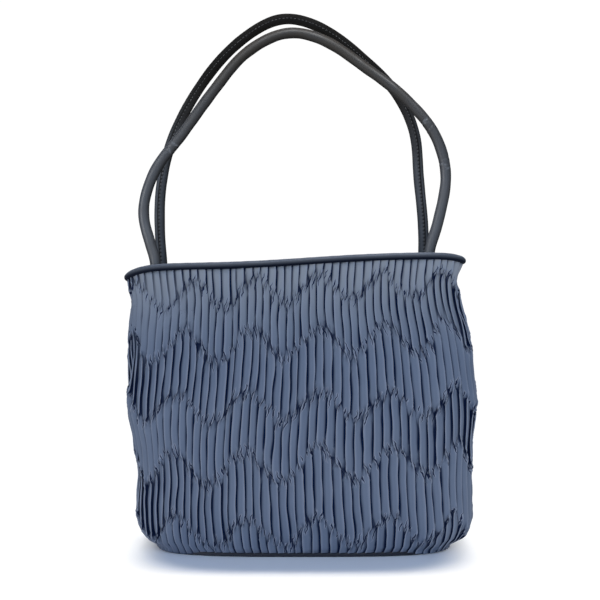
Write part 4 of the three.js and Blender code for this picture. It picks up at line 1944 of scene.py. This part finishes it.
    def _run(self) -> HandleRun:
        """Centreline of the handle, turned to lie flat on the wall at its sewn ends.

        Returns:
            The run of the handle.
        """
        centres = self._centres()
        along = unit(np.gradient(centres, axis=0))
        below = self.form.rim_over(centres[:, 0], centres[:, 1]) - centres[:, 2]
        flat = eased(below / self.flatten_height)
        facing = np.tile((0.0, float(self.side.value), 0.0), (len(centres), 1))
        for i in np.nonzero(flat)[0]:
            wall = self._outward(centres[i, 0], centres[i, 2])
            facing[i] = facing[i] * (1.0 - flat[i]) + wall * flat[i]
        out = unit(facing - along * np.sum(facing * along, axis=1, keepdims=True))
        return HandleRun(centres, along, out, np.cross(along, out), flat, run_length(centres))

    def _lap_sign(self) -> float:
        """Turns the lap so that it lies on the outside of the arch on both handles."""
        return -1.0 if self.side is Side.FRONT else 1.0

    def _skin(self, angle: Array) -> Array:
        """Extra radius where the rolled edge laps over, at angles from the outward side."""
        past = np.mod(self._lap_sign() * angle - self.lap_angle, TURN)
        return self.lap_step * np.where(past < self.lap_width, 1.0 - (past / self.lap_width) ** 2, 0.0)

    def build(self) -> tuple[Piece, Piece]:
        """Makes the handle and its stitches.

        Returns:
            The handle and the stitches.
        """
        run = self._run()
        angle = self._ring_angles()
        share = np.linspace(0.0, 1.0, self.rings)
        lapped = self._skin(angle)[None, :] * (1.0 - self.lap_flatter * run.flat[:, None])
        grow = lapped + self._wrinkles(share, angle)
        thick, wide = (
            self.radius + (end - self.radius) * run.flat
            for end in (self.tongue_half_thickness, self.tongue_half_width)
        )
        first = (thick[:, None] + grow) * np.cos(angle)[None, :]
        second = (wide[:, None] + grow) * np.sin(angle)[None, :]
        points = run.centres[:, None] + first[..., None] * run.out[:, None]
        points = self._shifted(points + second[..., None] * run.cross[:, None])
        faces = ring_faces(self.rings, len(angle), loop=False)
        piece = mesh_piece(self.name, points.reshape(-1, 3), faces)
        # Painted shade: darker towards the top of the handle, and on the sides turned from the light, at the
        # lapped edge and at the needle holes; pale scuffs
        point_values(piece, "darker_share", np.repeat(self._top_darkening(run), len(angle)))
        point_values(piece, "inside", self._shade(run, angle).ravel())
        point_values(piece, "scuff", self._scuffs(share, angle).ravel())
        around = np.tile(np.abs(wrapped(angle)) * self.radius / MM_PER_CM, self.rings)
        lay_pattern(piece, around, np.repeat(run.length / MM_PER_CM, len(angle)))
        LOG.info("%s: %.0f mm of rolled leather", self.name, run.length[-1])
        return piece, self._stitches(run)

    def _shade(self, run: HandleRun, angle: Array) -> Array:
        """Depth of shade on the leather: turned from the light, at the lapped edge and at the needle holes.

        Args:
            run: The run of the handle.
            angle: Angles of a ring's points.

        Returns:
            The shade from 0 to 1 at each point.
        """
        spoke = ring_spokes(angle, run.out, run.cross)
        spoke[..., 1] = np.abs(spoke[..., 1])
        lit = spoke @ np.array(self.LIT_FROM)
        shade = self.shade_share * clamped(self.shade_rate * (self.shade_from - lit))
        high = clamped((run.centres[:, 2] - self.darker_from) / self.turned_reach)
        turned_in = self.shade_share * clamped(-self.turned_rate * np.cos(angle))
        edge, row = (
            wrapped(angle - self._lap_sign() * spot)
            for spot in (self.lap_angle, self.lap_angle + self.stitch_inset)
        )
        holes = (0.5 - 0.5 * np.cos(TURN * run.length / self.stitch_pitch)) * (1.0 - run.flat)
        for darker in (
            turned_in[None, :] * high[:, None],
            bell(edge, self.lap_shade)[None, :],
            holes[:, None] * bell(row, self.hole_shade)[None, :],
        ):
            shade = np.maximum(shade, darker)
        return shade

    def _top_darkening(self, run: HandleRun) -> Array:
        """Share of the darker tone at each ring: painted shade that darkens the handle towards its top."""
        return np.clip((run.centres[:, 2] - self.darker_from) / self.darker_reach, 0.0, self.darker_most)

    def _ring_angles(self) -> Array:
        """Angles of the ring's points, with a close pair at the lapped edge.

        Returns:
            The angles in order.
        """
        even = TURN * np.arange(self.sides) / self.sides
        edge = self._lap_sign() * self.lap_angle
        pair = np.mod(np.array((edge - self.lap_pair, edge + self.lap_pair)), TURN)
        return np.sort(np.concatenate((even[np.abs(wrapped(even - edge)) > self.lap_gap], pair)))

    def _crease_lines(
        self, rng: Random, scatter: CreaseScatter, share: Array, angle: Array
    ) -> Iterator[tuple[Array, Array]]:
        """Creases where the handle has been bent.

        Args:
            rng: Seeded source of random numbers.
            scatter: How far the creases stray.
            share: Way along the handle of each ring.
            angle: Angles of a ring's points.

        Yields:
            Distance of each point from a crease, and the crease's strength round the handle.
        """
        for spot in self.creases:
            for _ in range(self.creases_each):
                middle = spot + rng.normal(0.0, scatter.along)
                slant = rng.normal(0.0, scatter.slant)
                facing = bell(wrapped(angle - rng.uniform(-scatter.turned, scatter.turned)), scatter.reach)
                yield share[:, None] - middle - slant * np.sin(angle)[None, :], facing[None, :]

    def _wrinkles(self, share: Array, angle: Array) -> Array:
        """Small creases across the handle where it has been bent, and slow unevenness.

        Args:
            share: Way along the handle of each ring.
            angle: Angles of a ring's points.

        Returns:
            Extra radius at each point in millimetres.
        """
        rng = np.random.default_rng(self.seed)
        depth = np.zeros((len(share), len(angle)))
        for line, facing in self._crease_lines(rng, self.WRINKLES, share, angle):
            depth -= self.crease_depth * bell(line, self.crease_width) * facing
            depth += self.ridge_height * bell(line - self.ridge_offset, self.ridge_width) * facing
        for waves in self.WAVES:
            slow = np.sin(TURN * waves * share + rng.uniform(0.0, TURN))
            turned = np.cos(angle + rng.uniform(0.0, TURN))
            round_it = 1.0 - self.TURNED_SHARE + self.TURNED_SHARE * turned
            depth += rng.normal(0.0, self.uneven) * slow[:, None] * round_it[None, :]
        return depth

    def _scuffs(self, share: Array, angle: Array) -> Array:
        """Short pale marks where the leather has been bent sharply.

        Args:
            share: Way along the handle of each ring.
            angle: Angles of a ring's points.

        Returns:
            Paleness from 0 to 1 at each point.
        """
        rng = np.random.default_rng(self.seed + 1)
        marks = np.zeros((len(share), len(angle)))
        for line, facing in self._crease_lines(rng, self.SCUFFS, share, angle):
            marks = np.maximum(marks, bell(line, self.scuff_width) * facing)
        return self.scuff_share * marks

    def _shifted(self, points: Array) -> Array:
        """Points moved to the bag's place in the frame, in metres."""
        return (points + np.array((self.form.shift[0], self.form.shift[1], 0.0))) * MM

    def _stitches(self, run: HandleRun) -> Piece:
        """Row of stitches beside the lapped edge, one mesh.

        Args:
            run: The run of the handle.

        Returns:
            The stitches' object.
        """
        clear_selection()
        bpy.ops.mesh.primitive_uv_sphere_add(segments=self.bead_sides, ring_count=self.bead_rings, radius=1.0)
        model = bpy.context.object
        bead = np.array([tuple(corner.co) for corner in model.data.vertices])
        bead_faces = [list(face.vertices) for face in model.data.polygons]
        bpy.data.objects.remove(model, do_unlink=True)
        angle = self._lap_sign() * (self.lap_angle + self.stitch_inset)
        reach = self.radius + float(self._skin(np.array(angle)))
        # Painted shade: the stitches darken towards the top of the handle
        darker_share = self._top_darkening(run)
        darkened: list[float] = []
        points: list[Array] = []
        faces: list[list[int]] = []
        for way in np.arange(self.stitch_pitch, run.length[-1], self.stitch_pitch):
            i = int(np.searchsorted(run.length, way).clip(1, len(run.length) - 2))
            if run.flat[i] > self.stitch_end:
                continue
            spoke = run.out[i] * math.cos(angle) + run.cross[i] * math.sin(angle)
            beside = np.cross(run.along[i], spoke)
            middle = run.centres[i] + spoke * (reach - self.stitch_sink)
            shape = (
                bead[:, 2:3] * run.along[i] * self.stitch_length / 2
                + bead[:, 0:1] * spoke * self.stitch_radius
                + bead[:, 1:2] * beside * self.stitch_radius
            )
            base = len(points) * len(bead)
            points.append(middle + shape)
            darkened.append(darker_share[i])
            faces.extend([base + corner for corner in face] for face in bead_faces)
        stitches = mesh_piece(self.name + "_stitches", self._shifted(np.concatenate(points)), faces)
        point_values(stitches, "darker_share", np.repeat(darkened, len(bead)))
        return stitches

    def dress(self, pieces: tuple[Piece, Piece], leather: Material, thread: Material) -> None:
        """Gives the handle its leather and its thread.

        Args:
            pieces: The handle and its stitches.
            leather: Finish of the handle.
            thread: Finish of the stitches.
        """
        place(pieces[0], leather, "leather", self.node)
        place(pieces[1], thread, "leather")


# Routes of the handles, sideways and upward in millimetres, and the bends along them
FRONT_CREASES = (0.244, 0.738, 0.812)
BACK_CREASES = (0.30, 0.74)
FRONT_ROUTE = (
    (-112.0, 229.0), (-116.0, 243.0), (-121.6, 268.0), (-112.3, 299.0), (-90.9, 327.4),
    (-66.8, 360.8), (-40.9, 391.4), (-8.8, 407.2), (19.2, 401.6), (52.4, 379.8),
    (81.4, 357.6), (105.9, 329.3), (115.7, 297.0), (109.4, 260.0), (102.5, 236.0),
)
BACK_ROUTE = (
    (-112.0, 229.0), (-113.2, 250.0), (-112.3, 284.0), (-103.5, 323.0), (-84.1, 361.2),
    (-56.4, 396.0), (-24.9, 418.4), (-7.0, 422.2), (20.4, 413.6), (52.8, 389.7),
    (80.0, 361.9), (94.2, 331.3), (98.0, 294.3), (101.8, 258.0), (102.5, 236.0),
)


# Studio


@dataclass(frozen=True)
class SoftLight:
    """One soft light of the studio, in metres and watts."""

    name: str
    spot: Triple
    aim: Triple
    size: tuple[float, float]
    power: float
    lights_cloth: bool = True
    shines_on_leather: bool = True
    colour: Triple = (1.0, 1.0, 1.0)

    def hang(self) -> None:
        """Hangs the light and turns it to its aim."""
        lamp = bpy.data.lights.new(self.name, "AREA")
        lamp.shape = "RECTANGLE"
        lamp.size, lamp.size_y = self.size
        lamp.energy = self.power
        lamp.color = self.colour
        light = bpy.data.objects.new(self.name, lamp)
        light.location = self.spot
        way = np.array(self.aim) - np.array(self.spot)
        flat = math.hypot(way[0], way[1])
        light.rotation_euler = (math.atan2(flat, -way[2]), 0.0, math.atan2(way[1], way[0]) - math.pi / 2)
        light.visible_diffuse = self.lights_cloth
        light.visible_glossy = self.shines_on_leather
        bpy.context.collection.objects.link(light)


@dataclass
class Studio:
    """Pale floor, soft lights and the camera at the photo's angle, in metres and watts."""

    camera_place: Triple = (-0.0013, -1.134, 0.262)
    camera_down: float = 3.3
    lens: float = 85.0
    sensor: float = 36.0
    far_end: float = 50.0
    backdrop: float = 1.03
    room: Colour = (0.60, 0.77, 1.0, 1.0)
    room_front: float = 0.66
    room_back: float = 0.30
    room_from: float = -0.8
    room_to: float = 0.4
    floor_pale: Colour = (0.80, 0.81, 0.89, 1.0)
    floor_radius: float = 0.75
    floor_corners: int = 128
    floor_near: float = 0.112
    floor_far: float = 0.158
    floor_shape: Triple = (1.09, 1.33, 1.0)
    floor_shine: float = 0.2
    floor_rough: float = 0.4

    LIGHTS = (
        SoftLight(
            "top softbox", (-0.03, 0.31, 1.55), (0.0, 0.0, 0.0), (0.8, 0.12), 27.0, shines_on_leather=False
        ),
        SoftLight(
            "front softbox", (0.05, -1.32, 0.95), (0.0, 0.0, 0.2), (0.8, 0.8), 8.5, colour=(0.72, 0.84, 1.0)
        ),
        SoftLight(
            "shine card", (0.16, -0.85, 1.35), (0.0, 0.0, 0.35), (1.1, 0.35), 48.0, lights_cloth=False
        ),
        SoftLight(
            "side card", (-0.95, -0.75, 0.45), (0.0, 0.0, 0.33), (0.5, 0.9), 24.0, lights_cloth=False
        ),
    )

    def build(self) -> None:
        """Sets the floor, the lights, the white surround and the camera."""
        scene = bpy.context.scene
        scene.view_settings.view_transform = "Standard"
        self._floor()
        self._surround(scene)
        for light in self.LIGHTS:
            light.hang()
        lens = bpy.data.cameras.new("photo camera")
        lens.lens = self.lens
        lens.sensor_width = self.sensor
        lens.clip_end = self.far_end
        camera = bpy.data.objects.new("photo camera", lens)
        camera.location = self.camera_place
        camera.rotation_euler = (math.radians(90.0 - self.camera_down), 0.0, 0.0)
        bpy.context.collection.objects.link(camera)
        scene.camera = camera

    def _surround(self, scene: bpy.types.Scene) -> None:
        """Sets a white backdrop and a dimmer room that lights the bag.

        Args:
            scene: The scene.
        """
        scene.world = bpy.data.worlds.new("white studio")
        scene.world.use_nodes = True
        board = NodeBoard(scene.world.node_tree)
        seen = board.add("ShaderNodeLightPath").outputs["Is Camera Ray"]
        way = board.add("ShaderNodeTexCoord").outputs["Generated"]
        depth = board.add("ShaderNodeSeparateXYZ", {0: way}).outputs["Y"]
        room = board.remap(depth, self.room_from, self.room_to, self.room_front, self.room_back)
        strength = board.add("ShaderNodeMix", {"Factor": seen, "A": room, "B": self.backdrop})
        colour = board.blend(seen, self.room, (1.0, 1.0, 1.0, 1.0))
        around = board.add(
            "ShaderNodeBackground", {"Color": colour, "Strength": strength.outputs["Result"]}
        )
        board.add("ShaderNodeOutputWorld", {"Surface": around.outputs["Background"]})

    @staticmethod
    def _product(board: NodeBoard, first: Socket, second: Socket | Triple) -> Socket:
        """Product of two vectors, part by part."""
        node = board.add("ShaderNodeVectorMath", {0: first, 1: second}, operation="MULTIPLY")
        return node.outputs["Vector"]

    def _floor(self) -> None:
        """Lays the pale round floor, whose tone fades to white outside a soft oblong round the bag."""
        clear_selection()
        bpy.ops.mesh.primitive_circle_add(
            vertices=self.floor_corners, radius=self.floor_radius, fill_type="NGON"
        )
        floor = bpy.context.object
        floor.name = "pale_floor"
        material, board, shader = new_material("pale floor")
        spot = board.add("ShaderNodeTexCoord").outputs["Object"]
        oval = self._product(board, spot, self.floor_shape)
        squared = self._product(board, oval, oval)
        reach = board.add("ShaderNodeVectorMath", {0: squared}, operation="LENGTH").outputs["Value"]
        far = board.remap(reach, self.floor_near**2, self.floor_far**2)
        black, white = ((tone,) * 3 + (1.0,) for tone in (0.0, self.backdrop))
        board.feed(shader.inputs["Base Color"], board.blend(far, self.floor_pale, black))
        board.feed(shader.inputs["Emission Color"], board.blend(far, black, white))
        shader.inputs["Emission Strength"].default_value = 1.0
        shader.inputs["Specular IOR Level"].default_value = self.floor_shine
        shader.inputs["Roughness"].default_value = self.floor_rough
        floor.data.materials.append(material)


# Leathers of the pieces
# Darker tone towards the tops of the handles, painted shade
DARKER_TOP_TONE: Colour = (0.039, 0.031, 0.024, 1.0)
# Tone of the handles' painted shade and of their darker grain creases
SHADE_AND_CREASE_TONE: Colour = (0.0055, 0.0048, 0.0042, 1.0)
LEATHERS = (
    LeatherFinish("charcoal handle leather", (0.082, 0.083, 0.090, 1.0), DARKER_TOP_TONE, SHADE_AND_CREASE_TONE),
    LeatherFinish("matt handle leather", (0.116, 0.118, 0.128, 1.0), DARKER_TOP_TONE, SHADE_AND_CREASE_TONE, shine=0.05),
    LeatherFinish(
        "navy piping leather",
        hide=(0.118, 0.127, 0.150, 1.0),
        darker_tone=(0.086, 0.094, 0.116, 1.0),
        # Tone of the painted shade on the lower side of the piping
        crease=(0.0022, 0.005, 0.014, 1.0),
        shine=0.07,
    ),
    LeatherFinish(
        "dark base leather",
        hide=(0.014, 0.018, 0.030, 1.0),
        darker_tone=(0.010, 0.012, 0.020, 1.0),
        crease=(0.006, 0.007, 0.012, 1.0),
        rough_low=0.5,
        rough_high=0.62,
        wrinkles=False,
    ),
)


def main() -> None:
    """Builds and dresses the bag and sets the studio."""
    logging.basicConfig(level=logging.INFO, format="%(name)s %(message)s")
    effects = SharedEffects()
    nylon = NylonFinish().material(effects)
    front_leather, back_leather, piping_leather, base_leather = (
        finish.material(effects) for finish in LEATHERS
    )
    thread = ThreadFinish().material(effects)
    form = BodyForm()
    for panel in (
        PleatedPanel("pleated_front", "front_panel", first_pleat=-26, form=form, seed=7),
        PleatedPanel("pleated_back", "back_panel", first_pleat=26, form=form, seed=19),
    ):
        panel.dress(panel.build(), nylon)
    piping = RimPiping(form)
    piping.dress(piping.build(), piping_leather)
    base = BasePanel(form)
    base.dress(base.build(), base_leather)
    handles = (
        RolledHandle(
            "rolled_handle_front", "front_handle", Side.FRONT, FRONT_ROUTE, FRONT_CREASES, form, seed=43
        ),
        RolledHandle("rolled_handle_back", "back_handle", Side.BACK, BACK_ROUTE, BACK_CREASES, form, seed=47),
    )
    for handle, leather in zip(handles, (front_leather, back_leather)):
        handle.dress(handle.build(), leather, thread)
    Studio().build()


if __name__ == "__main__":
    main()
